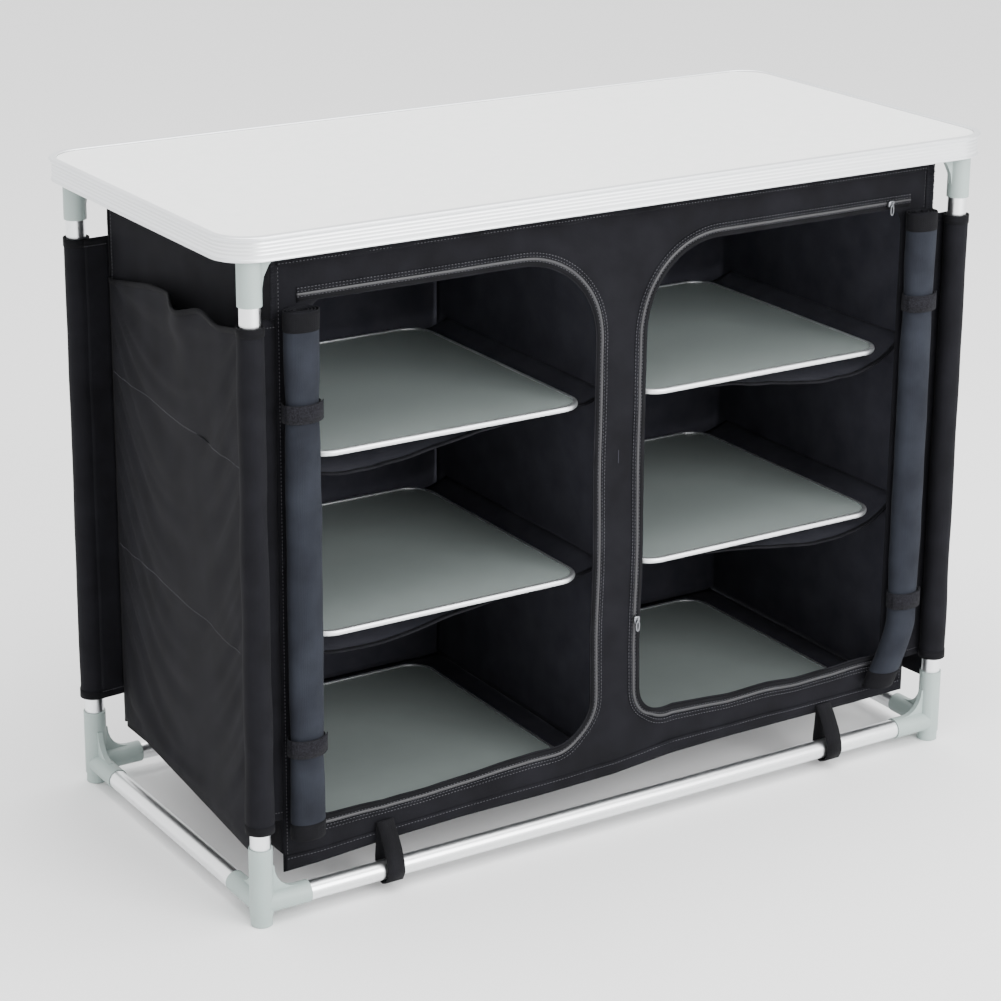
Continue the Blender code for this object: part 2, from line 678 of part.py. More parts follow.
def make_roll(side, sx):
    name = f"door_roll_{side}"
    outline = arc((0, 0), (ROLL_HALF_WIDTH, ROLL_HALF_DEPTH), 0, 360, ROUND_STEPS)[:-1]
    mesh = prism_mesh(name, outline, 0, ROLL_HIGH - ROLL_LOW)
    add_object(name, mesh, (sx * ROLL_X, ROLL_Y, ROLL_LOW), "slate polyester")


def make_strap(level, side, sx, middle):
    """A band round the rolled door, with the roll's own oval section."""
    name = f"strap_{level}_{side}"
    at = (sx * ROLL_X, ROLL_Y, middle)
    half = STRAP_WIDTH / 2
    inner = (ROLL_HALF_WIDTH + GAP, ROLL_HALF_DEPTH + GAP)
    outer = (inner[0] + CLOTH, inner[1] + CLOTH)
    band = add_object(
        name,
        prism_mesh(name, arc((0, 0), outer, 0, 360, ROUND_STEPS)[:-1], -half, half),
        at,
        "black webbing",
    )
    hole = prism_mesh(f"{name}_hole", arc((0, 0), inner, 0, 360, ROUND_STEPS)[:-1], -0.02, 0.02)
    combine(band, "DIFFERENCE", (helper(hole, at),))


def make_loop(side, sx):
    """The webbing loop that ties the foot of the bag to the front rail."""
    name = f"rail_loop_{side}"
    at = (sx * LOOP_X, -POST_Y, RAIL_Z)
    half = LOOP_WIDTH / 2
    inner = TUBE_DIAMETER / 2 + GAP
    outer = inner + CLOTH
    loop = add_object(
        name, cylinder_mesh(name, outer, (-half, 0, 0), (half, 0, 0)), at, "black webbing"
    )
    top = BAG_LOW + LOOP_LAP - RAIL_Z
    tab = box_mesh(f"{name}_tab", (-half, inner - CLOTH / 2, 0), (half, outer, top))
    combine(loop, "UNION", (helper(tab, at),))
    bore = cylinder_mesh(f"{name}_bore", inner, (-half - 0.01, 0, 0), (half + 0.01, 0, 0))
    combine(loop, "DIFFERENCE", (helper(bore, at),))


def make_slider(name, at, along):
    """A zip slider on the front of the bag, its pull tab hanging down."""
    half_x = SLIDER_HALF_WIDTH if along == "X" else SLIDER_HALF_HEIGHT
    half_z = SLIDER_HALF_HEIGHT if along == "X" else SLIDER_HALF_WIDTH
    slider = add_object(
        name,
        box_mesh(name, (-half_x, -SLIDER_THICKNESS, -half_z), (half_x, 0, half_z)),
        at,
        "zip metal",
    )
    tab = box_mesh(
        f"{name}_tab",
        (-half_x / 2, -SLIDER_THICKNESS - SLIDER_TAB_THICKNESS, -SLIDER_TAB),
        (half_x / 2, -SLIDER_THICKNESS / 2, half_z / 2),
    )
    combine(slider, "UNION", (helper(tab, at),))


def make_zip_sliders():
    front = -(BAG_Y + GAP)
    make_slider("zip_slider_top", (TOP_SLIDER_X, front, DOOR_HIGH + ZIP_SETBACK), "X")
    make_slider("zip_slider_side", (DOOR_INNER_X - ZIP_SETBACK, front, SIDE_SLIDER_Z), "Z")


def build():
    lift = add_empty("tabletop_lift", (0, 0, BOARD_BOTTOM))
    make_tabletop(lift)
    for corner, (sx, sy) in CORNERS.items():
        make_socket(corner, sx, sy, lift)
        make_screw(corner, sx, sy, lift)
        make_sleeve(corner, sx, sy)
    cut_screw_holes()
    make_frame()
    make_bag()
    floor = {"bottom": FLOOR_TOP + GAP}
    for side, sx in SIDES.items():
        make_pocket(side, sx)
        make_roll(side, sx)
        make_loop(side, sx)
        for level, underside in SHELF_LEVELS.items():
            make_sling(level, side, sx, underside)
        for level, underside in (SHELF_LEVELS | floor).items():
            make_shelf(level, side, sx, underside)
        for level, middle in STRAP_LEVELS.items():
            make_strap(level, side, sx, middle)
    make_zip_sliders()


build()
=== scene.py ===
"""The looks of a camp kitchen table: laminate top with aluminium edging, push-fit tube frame,
sewn bag of two bays with rolled-up doors, and six loose shelves. Metres, +Z up, front at -Y.
"""

import math

import bmesh
import bpy
import numpy as np
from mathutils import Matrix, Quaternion, Vector, noise
from mathutils.bvhtree import BVHTree


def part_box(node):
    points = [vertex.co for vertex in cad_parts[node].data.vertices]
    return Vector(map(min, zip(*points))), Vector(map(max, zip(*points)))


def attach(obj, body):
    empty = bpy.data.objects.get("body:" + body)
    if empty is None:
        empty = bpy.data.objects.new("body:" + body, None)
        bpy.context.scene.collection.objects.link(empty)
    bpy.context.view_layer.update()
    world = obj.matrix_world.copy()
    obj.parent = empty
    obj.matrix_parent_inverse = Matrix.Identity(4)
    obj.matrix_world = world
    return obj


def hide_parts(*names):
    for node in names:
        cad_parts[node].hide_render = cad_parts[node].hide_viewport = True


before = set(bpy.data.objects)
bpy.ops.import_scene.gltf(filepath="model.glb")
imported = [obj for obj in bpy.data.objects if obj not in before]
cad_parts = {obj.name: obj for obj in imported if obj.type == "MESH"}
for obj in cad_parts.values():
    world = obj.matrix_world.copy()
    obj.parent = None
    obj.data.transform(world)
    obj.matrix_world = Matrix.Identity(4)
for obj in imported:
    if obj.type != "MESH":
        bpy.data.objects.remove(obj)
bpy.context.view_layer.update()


# Studio. A pale seamless floor, one wide key light from the front right, a broad overhead light
# and a weak fill, so that the white edging stays soft and the black cloth keeps its folds.


def linear(hex_colour):
    """An sRGB hex colour as linear RGBA."""
    values = [int(hex_colour[i : i + 2], 16) / 255 for i in (1, 3, 5)]
    return (*[v / 12.92 if v <= 0.04045 else ((v + 0.055) / 1.055) ** 2.4 for v in values], 1.0)


def add_node(tree, kind, settings=(), links=()):
    """Adds a node. Settings are its own fields or its inputs; links go from outputs to inputs."""
    node = tree.nodes.new(kind)
    for key, value in dict(settings).items():
        if isinstance(key, str) and key not in node.inputs and hasattr(node, key):
            setattr(node, key, value)
        else:
            node.inputs[key].default_value = value
    for key, source in dict(links).items():
        tree.links.new(source, node.inputs[key])
    return node


def new_material(name, **settings):
    """A material with a Principled shader, and its tree and shader to build on."""
    material = bpy.data.materials.new(name)
    material.use_nodes = True
    shader = material.node_tree.nodes["Principled BSDF"]
    for key, value in settings.items():
        shader.inputs[key.replace("_", " ")].default_value = value
    return material, material.node_tree, shader


def colour_by(tree, shader, share, dark, light, start=0.0, end=1.0):
    """Colours the shader from dark to light as the share goes from start to end."""
    tones = add_node(tree, "ShaderNodeValToRGB", links={"Fac": share})
    for element, place, colour in zip(tones.color_ramp.elements, (start, end), (dark, light)):
        element.position = place
        element.color = linear(colour)
    tree.links.new(tones.outputs["Color"], shader.inputs["Base Color"])


floor_material, tree, shader = new_material("matt studio floor", Roughness=0.9)
speckle = add_node(tree, "ShaderNodeTexNoise", {"Scale": 3.0, "Detail": 2.0})
colour_by(tree, shader, speckle.outputs["Fac"], "#F4F4F4", "#F8F8F8")

bpy.ops.mesh.primitive_plane_add(size=40, location=(0, 0, -0.0005))
floor = bpy.context.object
floor.name = "studio_floor"
floor.data.materials.append(floor_material)

world = bpy.data.worlds.new("studio")
world.use_nodes = True
world.node_tree.nodes["Background"].inputs["Color"].default_value = (1.0, 1.0, 1.0, 1.0)
world.node_tree.nodes["Background"].inputs["Strength"].default_value = 1.75
bpy.context.scene.world = world

LIGHTS = (
    # name, position, size, power
    ("key", (1.0, -3.6, 2.0), 2.4, 190),
    ("overhead", (0.2, -0.4, 3.4), 3.0, 120),
    ("fill", (-3.2, -1.6, 1.6), 2.0, 5),
)
for name, place, size, power in LIGHTS:
    light = bpy.data.lights.new(name, "AREA")
    light.size = size
    light.energy = power
    lamp = bpy.data.objects.new(name, light)
    lamp.location = place
    lamp.rotation_euler = (Vector((0, 0, 0.4)) - Vector(place)).to_track_quat("-Z", "Y").to_euler()
    bpy.context.scene.collection.objects.link(lamp)

turn = math.radians(-32.37)
rise = math.radians(17.59)
back = Vector((math.sin(turn) * math.cos(rise), -math.cos(turn) * math.cos(rise), math.sin(rise)))
lens = bpy.data.cameras.new("camera")
lens.sensor_width = 36.0
lens.lens = 102.2
lens.shift_y = -0.1004
camera = bpy.data.objects.new("camera", lens)
camera.rotation_mode = "QUATERNION"
roll = Quaternion((0, 0, 1), math.radians(0.43))
camera.rotation_quaternion = (-back).to_track_quat("-Z", "Y") @ roll
camera.location = (-1.687, -2.612, 1.434)
bpy.context.scene.collection.objects.link(camera)
bpy.context.scene.camera = camera


# Tabletop board. A one-piece panel with an off-white melamine laminate, matt enough to show no
# clear reflection, with a faint mottled print under the film. It lies in the edging's groove.


def object_point(tree):
    """The output that gives a point's place on its own object, in metres."""
    return add_node(tree, "ShaderNodeTexCoord").outputs["Object"]


def cloud(tree, where, scale, detail=2.0):
    """A noise from 0 to 1, with scale waves in a metre or so."""
    settings = {"Scale": scale, "Detail": detail}
    return add_node(tree, "ShaderNodeTexNoise", settings, {"Vector": where}).outputs["Fac"]


def raise_by(tree, shader, height, strength, distance=0.0002):
    """Bumps the shader's surface by up to the distance, in metres."""
    settings = {"Strength": strength, "Distance": distance}
    bump = add_node(tree, "ShaderNodeBump", settings, {"Height": height})
    tree.links.new(bump.outputs["Normal"], shader.inputs["Normal"])


laminate, tree, shader = new_material("melamine laminate", Roughness=0.42, IOR=1.5)
where = object_point(tree)
colour_by(tree, shader, cloud(tree, where, 60.0, 4.0), "#F0F2F1", "#F5F6F5", 0.3, 0.7)
raise_by(tree, shader, cloud(tree, where, 900.0), 0.06)


def dress_node(name, material, bevel=0.0, angle=35):
    """Gives a CAD node its material, rounded edges and smooth shading, its shape unchanged."""
    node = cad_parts[name]
    node.data.materials.clear()
    node.data.materials.append(material)
    if "custom_normal" in node.data.attributes:
        node.data.attributes.remove(node.data.attributes["custom_normal"])
    for face in node.data.polygons:
        face.use_smooth = True
    weld = node.modifiers.new("weld", "WELD")
    weld.merge_threshold = 0.00001
    if bevel:
        edge = node.modifiers.new("edge", "BEVEL")
        edge.width = bevel
        edge.segments = 2
        edge.limit_method = "ANGLE"
        edge.angle_limit = math.radians(angle)
    node.modifiers.new("shading", "WEIGHTED_NORMAL")
    return node


dress_node("tabletop_board", laminate)


# Tabletop edging. One length of extruded aluminium bent round the board and butted in the middle
# of the right end: a lip at the top, four fine ribs along the skirt and a bead at the bottom.

SIDES = {"left": -1, "right": 1}
EDGING_CORNER = 0.045
EDGING_WIDTH = 0.0078
EDGING_WALL = 0.0014
EDGING_FACE = -0.0030  # the skirt's face, behind the lip
RIB_PITCH = 0.0038


def roughen_by(tree, shader, share, least, most):
    """Makes the shader's roughness go from least to most with the share."""
    settings = {"To Min": least, "To Max": most}
    gloss = add_node(tree, "ShaderNodeMapRange", settings, {"Value": share})
    tree.links.new(gloss.outputs["Result"], shader.inputs["Roughness"])


satin_aluminium, tree, shader = new_material("satin anodised aluminium", Metallic=1.0)
where = object_point(tree)
long_grain = add_node(
    tree, "ShaderNodeMapping", {"Scale": (12.0, 12.0, 900.0)}, {"Vector": where}
)
grain = cloud(tree, long_grain.outputs["Vector"], 1.0, 3.0)
colour_by(tree, shader, grain, "#E9ECEE", "#F7F9FB")
roughen_by(tree, shader, grain, 0.36, 0.48)
raise_by(tree, shader, grain, 0.05)


def object_from(name, points, faces, material, body="frame"):
    """A smooth mesh object, its faces all turned the same way, that rides on a body."""
    mesh = bpy.data.meshes.new(name)
    mesh.from_pydata([tuple(p) for p in points], [], faces)
    shape = bmesh.new()
    shape.from_mesh(mesh)
    bmesh.ops.recalc_face_normals(shape, faces=shape.faces)
    shape.to_mesh(mesh)
    shape.free()
    mesh.polygons.foreach_set("use_smooth", [True] * len(mesh.polygons))
    mesh.materials.append(material)
    item = bpy.data.objects.new(name, mesh)
    bpy.context.scene.collection.objects.link(item)
    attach(item, body)
    return item


def sweep(name, path, normals, section, material, body="frame", closed=False, swell=None):
    """A solid with one section all along a path. A section's points are (across, out): out runs
    along the path's normal, and across is to the left of the way that the path goes."""
    count = len(path)
    sides = len(section)
    points = []
    for i, at in enumerate(path):
        before = path[i - 1] if closed or i else at
        after = path[(i + 1) % count] if closed or i < count - 1 else at
        ahead = (after - before).normalized()
        out = (normals[i] - ahead * normals[i].dot(ahead)).normalized()
        across = out.cross(ahead)
        size = swell(i) if swell else 1.0
        points += [at + across * (a * size) + out * (b * size) for a, b in section]
    faces = []
    for i in range(count if closed else count - 1):
        near = i * sides
        far = (i + 1) % count * sides
        for j in range(sides):
            k = (j + 1) % sides
            faces.append((near + j, far + j, far + k, near + k))
    if not closed:
        faces.append(tuple(range(sides)))
        faces.append(tuple(range((count - 1) * sides, count * sides)))
    return object_from(name, points, faces, material, body)


def rounded_ring(half_x, half_y, radius, z, middle=(0, 0), steps=20):
    """Points and outward directions round a rounded rectangle, from the middle of its right end."""
    path = []
    normals = []
    quarters = ((1, 1), (-1, 1), (-1, -1), (1, -1))
    for quarter, (sx, sy) in enumerate(quarters):
        for i in range(steps + 1):
            angle = math.radians(90 * (quarter + i / steps))
            out = Vector((math.cos(angle), math.sin(angle), 0))
            hub = Vector((sx * (half_x - radius), sy * (half_y - radius), z))
            path.append(hub + out * radius + Vector((*middle, 0)))
            normals.append(out)
    return path, normals


def soften(item, angle=40):
    """Keeps the sharp lines of a metal section sharp, and the rest smooth."""
    for edge in item.data.edges:
        edge.use_edge_sharp = False
    item.data.set_sharp_from_angle(angle=math.radians(angle))


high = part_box("tabletop_edging")[1]
profile = [(-EDGING_WIDTH, -0.0014), (-EDGING_WIDTH, -0.0005), (-0.0073, 0), (-0.0018, 0)]
profile += [(-0.0009, -0.0002), (-0.0002, -0.0009), (0, -0.0019), (-0.0002, -0.0031)]
profile += [(-0.0011, -0.0041), (-0.0024, -0.0047), (EDGING_FACE, -0.0056)]
for rib in range(4):
    middle = -0.0078 - RIB_PITCH * rib
    profile += [(EDGING_FACE, middle + 0.0010), (EDGING_FACE + 0.0003, middle + 0.0004)]
    profile += [(EDGING_FACE + 0.0003, middle - 0.0004), (EDGING_FACE, middle - 0.0010)]
profile += [(EDGING_FACE, -0.0226), (-0.0021, -0.0232), (-0.0016, -0.0242), (-0.0016, -0.0253)]
profile += [(-0.0022, -0.0260), (EDGING_FACE - EDGING_WALL, -0.0260)]
profile += [(EDGING_FACE - EDGING_WALL, -0.0014)]
path, normals = rounded_ring(high.x, high.y, EDGING_CORNER, high.z)
seam = Vector((high.x, 0.00015, high.z))
path = [seam, *path, Vector((high.x, -0.00015, high.z))]
normals = [Vector((1, 0, 0)), *normals, Vector((1, 0, 0))]
edging = sweep(
    "edging", path, normals, [(z, out) for out, z in profile], satin_aluminium, "tabletop"
)
soften(edging, 30)
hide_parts("tabletop_edging")


# Corner sockets. Moulded grey-green polypropylene with a fine spark-eroded surface, screwed up
# into the board; the posts push into them.

moulded, tree, shader = new_material("moulded polypropylene", Roughness=0.48, IOR=1.49)
where = object_point(tree)
colour_by(tree, shader, cloud(tree, where, 25.0), "#8F9D9A", "#9BA8A5")
raise_by(tree, shader, cloud(tree, where, 1500.0), 0.12)

zinc, tree, shader = new_material("zinc-plated steel", Metallic=1.0)
wear = cloud(tree, object_point(tree), 400.0)
colour_by(tree, shader, wear, "#A8ABAE", "#C6C8CA")
roughen_by(tree, shader, wear, 0.25, 0.45)

CORNERS = {
    "front_left": (-1, -1),
    "front_right": (1, -1),
    "back_left": (-1, 1),
    "back_right": (1, 1),
}
for corner in CORNERS:
    dress_node(f"socket_{corner}", moulded, 0.0008)
    dress_node(f"socket_screw_{corner}", zinc)


# Posts and rails. Drawn aluminium tube, 22 mm across, clear anodised: smooth and bright, with a
# faint wear in its gloss. Posts push into the feet and sockets, and rails into the feet.

drawn_tube, tree, shader = new_material("drawn aluminium tube", Metallic=1.0)
streaks = cloud(tree, object_point(tree), 220.0)
colour_by(tree, shader, streaks, "#EEF1F3", "#F9FAFB")
roughen_by(tree, shader, streaks, 0.26, 0.36)

for name in [f"post_{corner}" for corner in CORNERS] + [
    f"rail_{place}" for place in ("front", "back", "left", "right")
]:
    dress_node(name, drawn_tube, 0.0003)


# Feet. The same plastic as the sockets, moulded in one piece: a collar for the post, two arms
# for the rails with an arc web over each, and the round pad that stands on the ground.

for corner in CORNERS:
    dress_node(f"foot_{corner}", moulded, 0.0008)


# Bag walls. The back and both ends are one wrap of black 600-denier polyester, plain woven and
# coated inside, sewn to the front panel at its front corners and tucked up behind the skirt.
# Its threads lie 0.5 mm apart; they are drawn at 1.4 mm, the finest that shows.

CLOTH = 0.0010
CORNER_BEND = 0.003
bag_low, bag_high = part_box("bag_front")
BAG_X = bag_high.x
BAG_LOW = bag_low.z
BAG_HIGH = bag_high.z
FRONT_Y = (bag_low.y + bag_high.y) / 2


def woven_material(name, dark, light, thread, sheen):
    """Plain weave: threads over and under in each plane, with slow changes of tone."""
    material, tree, shader = new_material(name, Roughness=0.80, IOR=1.5)
    shader.inputs["Sheen Weight"].default_value = sheen
    shader.inputs["Sheen Roughness"].default_value = 0.45
    shader.inputs["Specular IOR Level"].default_value = 0.06
    where = object_point(tree)
    split = add_node(tree, "ShaderNodeSeparateXYZ", links={"Vector": where})

    def combined(operation, links, settings=()):
        """The result of a sum on one or two values."""
        settings = {"operation": operation, **dict(settings)}
        return add_node(tree, "ShaderNodeMath", settings, links).outputs[0]

    waves = []
    for axis in "XYZ":
        turns = combined("MULTIPLY", {0: split.outputs[axis]}, {1: 2 * math.pi / thread})
        waves.append(combined("SINE", {0: turns}))
    crossings = [
        combined("MULTIPLY", {0: waves[first], 1: waves[second]})
        for first, second in ((0, 2), (1, 2), (0, 1))
    ]
    total = combined("ADD", {0: crossings[0], 1: crossings[1]})
    total = combined("ADD", {0: total, 1: crossings[2]})
    colour_by(tree, shader, cloud(tree, where, 28.0, 7.0), dark, light, 0.3, 0.75)
    woven = add_node(
        tree, "ShaderNodeBump", {"Strength": 0.3, "Distance": 0.0003}, {"Height": total}
    )
    rough = add_node(
        tree,
        "ShaderNodeBump",
        {"Strength": 0.25, "Distance": 0.0003},
        {"Height": cloud(tree, where, 600.0), "Normal": woven.outputs["Normal"]},
    )
    tree.links.new(rough.outputs["Normal"], shader.inputs["Normal"])
    return material


black_cloth = woven_material("black polyester plain weave", "#111114", "#18181C", 0.0014, 0.015)
black_tape = woven_material("black polyester binding", "#0E0E10", "#151518", 0.0020, 0.015)
# The coated inner cloth is painted lighter than the outer black cloth: painted light standing in
# for the light that reaches inside the bays.
coated_cloth_painted_light = woven_material("black polyester, coated, painted lighter", "#2D2D34", "#38383F", 0.0014, 0.02)
sewing_thread = woven_material("black bonded thread", "#4C4C52", "#5C5C62", 0.0008, 0.2)


def thicken(item, thickness):
    """Gives a flat sheet its thickness, half to each side."""
    solid = item.modifiers.new("cloth thickness", "SOLIDIFY")
    solid.thickness = thickness
    solid.offset = 0.0


def grid(name, columns, rows, place, material, body="frame", skip=None):
    """A sheet of quads. Place gives the point for the shares u and v of its width and height."""
    span = columns + 1
    points = [place(i / columns, j / rows) for j in range(rows + 1) for i in range(span)]
    faces = []
    for j in range(rows):
        for i in range(columns):
            first = j * span + i
            quad = (first, first + 1, first + span + 1, first + span)
            if skip is None or not skip(sum((points[k] for k in quad), Vector()) / 4):
                faces.append(quad)
    sheet = object_from(name, points, faces, material, body)
    shape = bmesh.new()
    shape.from_mesh(sheet.data)
    loose = [v for v in shape.verts if not v.link_faces]
    bmesh.ops.delete(shape, geom=loose, context="VERTS")
    shape.to_mesh(sheet.data)
    shape.free()
    return sheet


def crease(point, size, depth, seed):
    """Soft folds about size metres apart, between minus depth and depth."""
    return depth * noise.noise(point / size + Vector((seed, -seed, 2 * seed))) * 1.6


def even_path(corners, step):
    """Points evenly spaced along the line through the given corners."""
    line = np.array([tuple(corner) for corner in corners])
    along = np.concatenate([[0], np.cumsum(np.linalg.norm(np.diff(line, axis=0), axis=1))])
    places = np.linspace(0, along[-1], max(2, round(along[-1] / step) + 1))
    return [Vector([float(np.interp(p, along, line[:, k])) for k in range(3)]) for p in places]


def stitches(name, path, normals, pitch=0.0040):
    """A row of lockstitches along a path on the cloth: a slim bead of thread for each."""
    line = np.array([tuple(p) for p in path])
    outs = np.array([tuple(n) for n in normals])
    along = np.concatenate([[0], np.cumsum(np.linalg.norm(np.diff(line, axis=0), axis=1))])

    def at(distance, rows):
        return Vector([float(np.interp(distance, along, rows[:, k])) for k in range(3)])

    points = []
    faces = []
    for k in range(int(along[-1] / pitch)):
        start = at((k + 0.1) * pitch, line)
        end = at((k + 0.8) * pitch, line)
        out = at((k + 0.5) * pitch, outs).normalized()
        across = out.cross(end - start).normalized()
        middle = (start + end) / 2
        first = len(points)
        points += [start, end, middle + across * 0.00045, middle - across * 0.00045]
        points += [middle + out * 0.0005, middle - out * 0.0004]
        for side in (2, 3):
            for top in (4, 5):
                faces.append((first, first + side, first + top))
                faces.append((first + 1, first + side, first + top))
    row = object_from(name, points, faces, sewing_thread)
    return row


side_low, side_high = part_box("bag_side_right")
bend = CORNER_BEND
plan = [Vector((-BAG_X, side_low.y, 0)), Vector((-BAG_X, -FRONT_Y - bend, 0))]
for quarter, sx in ((90, -1), (0, 1)):
    for i in range(7):
        angle = math.radians(quarter + 90 - 15 * i)
        hub = Vector((sx * (BAG_X - bend), -FRONT_Y - bend, 0))
        plan.append(hub + bend * Vector((math.cos(angle), math.sin(angle), 0)))
plan += [Vector((BAG_X, -FRONT_Y - bend, 0)), Vector((BAG_X, side_low.y, 0))]
plan = even_path(plan, 0.006)


def wall_point(u, v):
    """The walls bow a little: the ends inwards, clear of the pockets, and the back outwards."""
    index = round(u * (len(plan) - 1))
    ahead = plan[min(index + 1, len(plan) - 1)] - plan[max(index - 1, 0)]
    out = Vector((-ahead.y, ahead.x, 0)).normalized()
    z = BAG_LOW + (BAG_HIGH - BAG_LOW) * v
    at = Vector((plan[index].x, plan[index].y, z))
    hold = min(1.0, 8 * (BAG_HIGH - z), 8 * (z - BAG_LOW))
    if at.y > side_high.y - 0.012:
        share = max(0.0, 1 - (at.x / BAG_X) ** 2)
        move = 0.0035 * share + crease(at, 0.09, 0.0016, 1.7) * min(1, 6 * share)
    else:
        share = max(0.0, 1 - (at.y / side_high.y) ** 2)
        move = min(0.0, -0.0025 * share + crease(at, 0.08, 0.0014, 5.2) * min(1, 4 * share))
    return at + out * move * hold


walls = grid("bag_walls", len(plan) - 1, 84, wall_point, black_cloth)
thicken(walls, CLOTH)
# The inner face gets the coated cloth, painted lighter as painted light inside the bag.
walls.modifiers["cloth thickness"].material_offset = 1
walls.data.materials.append(coated_cloth_painted_light)
right_end = Vector((BAG_X, 0, 0.4))
face = min(walls.data.polygons, key=lambda face: (face.center - right_end).length)
if face.normal.x < 0:
    walls.data.materials[0] = coated_cloth_painted_light
    walls.data.materials[1] = black_cloth
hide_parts("bag_back", "bag_side_left", "bag_side_right")


# Corner seams of the bag. At each upright corner the panels are sewn together over a cord, which
# stands out as piping, with a row of stitching on either side of it.

round_cord = [(0.0017 * math.cos(a), 0.0017 * math.sin(a)) for a in np.linspace(0, 5.5, 8)]
for side, sx in SIDES.items():
    out = Vector((sx, 1, 0)).normalized()
    corner = Vector((sx * (BAG_X + 0.0006), side_high.y + 0.0010, 0))
    ends = [corner + Vector((0, 0, z)) for z in (BAG_HIGH - 0.006, 0.072)]
    line = even_path(ends, 0.006)
    line = [p + out * crease(p, 0.03, 0.0005, 2.2) for p in line]
    piping = sweep(
        f"corner_piping_{side}", line, [out] * len(line), round_cord, black_tape
    )
    for number, offset, face in ((1, (-0.009, 0.0008), (0, 1)), (2, (0.0008, -0.007), (1, 0))):
        shift = Vector((sx * offset[0], offset[1], 0))
        outs = [Vector((sx * face[0], face[1], 0))] * len(line)
        row = stitches(f"corner_stitching_{side}_{number}", [p + shift for p in line], outs)


# Bag floor and divider. Two more panels of the same cloth: the floor hangs by its edges with the
# bottom shelves on it, and the divider stands between the bays.

floor_low, floor_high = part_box("bag_floor")


def floor_point(u, v):
    """The floor sags between the bays' shelves and turns up a little at its edge."""
    x = floor_low.x + (floor_high.x - floor_low.x) * u
    y = floor_low.y + (floor_high.y - floor_low.y) * v
    edge = min(1.0, 12 * min(x - floor_low.x, floor_high.x - x, y - floor_low.y, floor_high.y - y))
    z = floor_low.z + 0.0004 - 0.003 * edge * abs(math.sin(math.pi * x / BAG_X))
    return Vector((x, y, z - edge * abs(crease(Vector((x, y, 0)), 0.07, 0.0012, 4.4))))


bag_floor = grid("bag_floor_cloth", 84, 38, floor_point, coated_cloth_painted_light)
thicken(bag_floor, CLOTH)
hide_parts("bag_floor")

divider_low, divider_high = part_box("bag_divider")


def divider_point(u, v):
    """The divider is slack, so it leans about a little between the slings."""
    y = divider_low.y + (divider_high.y - divider_low.y) * u
    z = divider_low.z + (divider_high.z - divider_low.z) * v
    from_edges = (y - divider_low.y, divider_high.y - y, z - divider_low.z, divider_high.z - z)
    hold = min(1.0, 9 * min(from_edges))
    return Vector((crease(Vector((0, y, z)), 0.10, 0.0022, 8.1) * hold, y, z))


divider = grid("bag_divider_cloth", 48, 80, divider_point, coated_cloth_painted_light)
thicken(divider, CLOTH)
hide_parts("bag_divider")


# Front panel. Cut in one piece with two arched doorways, and sewn to the walls at both ends. It
# is let hang by simulation, held at its seams, so the sill and the arches slacken as cloth does.

DOOR_INNER_X = 0.033
DOOR_OUTER_X = BAG_X - 0.037
DOOR_LOW = BAG_LOW + 0.044
DOOR_HIGH = BAG_HIGH - 0.0595
ARCH_RADIUS = 0.095
SILL_RADIUS = 0.045
OUTER_RADIUS = 0.020
STEP = 0.006
# How far the panel's lower edge and its sills hang down at each x, in metres.
DROOP_X = (-0.42, -0.38, -0.30, -0.20, -0.10, 0.0, 0.08, 0.16, 0.26, 0.34, 0.42)
DROOP_EDGE = (0.021, 0.020, 0.015, 0.012, 0.012, 0.010, 0.003, 0.001, 0.001, 0.001, 0.0)
DROOP_SILL = (0.004, 0.009, 0.012, 0.007, 0.003, -0.002, -0.016, -0.01, -0.008, -0.01, -0.01)


def droop(x, z):
    """How far the slack foot of the panel hangs below its cut line."""
    share = min(1.0, max(0.0, (z - BAG_LOW) / (DOOR_LOW - BAG_LOW)))
    edge = float(np.interp(x, DROOP_X, DROOP_EDGE))
    sill = float(np.interp(x, DROOP_X, DROOP_SILL)) + crease(Vector((x, 0, 0)), 0.06, 0.0022, 4.9)
    fade = max(0.0, 1 - max(0.0, z - DOOR_LOW) / 0.07) ** 2
    return (edge + (sill - edge) * share) * fade


def doorway_gap(x, z):
    """Distance from the nearer doorway's edge, negative inside the doorway."""
    from_x = abs(x) - (DOOR_INNER_X + DOOR_OUTER_X) / 2
    from_z = z - (DOOR_LOW + DOOR_HIGH) / 2
    radius = OUTER_RADIUS
    if from_x < 0:
        radius = ARCH_RADIUS if from_z > 0 else SILL_RADIUS
    far_x = abs(from_x) - (DOOR_OUTER_X - DOOR_INNER_X) / 2 + radius
    far_z = abs(from_z) - (DOOR_HIGH - DOOR_LOW) / 2 + radius
    return min(max(far_x, far_z), 0) + math.hypot(max(far_x, 0), max(far_z, 0)) - radius


def front_point(u, v):
    """A point of the flat panel, moved onto the doorway's edge where it lies close to it."""
    x = BAG_X * (2 * u - 1)
    z = BAG_LOW + (BAG_HIGH - BAG_LOW) * v
    gap = doorway_gap(x, z)
    if abs(gap) < 0.7 * STEP:
        slope_x = (doorway_gap(x + 0.0002, z) - doorway_gap(x - 0.0002, z)) / 0.0004
        slope_z = (doorway_gap(x, z + 0.0002) - doorway_gap(x, z - 0.0002)) / 0.0004
        x -= slope_x * gap
        z -= slope_z * gap
    at = Vector((x, FRONT_Y, z))
    hold = min(1.0, 12 * (BAG_X - abs(x)), 12 * (BAG_HIGH - z), 12 * (z - BAG_LOW))
    at.y += hold * (crease(at, 0.10, 0.0012, 3.1) + crease(at, 0.035, 0.0004, 6.3))
    return at


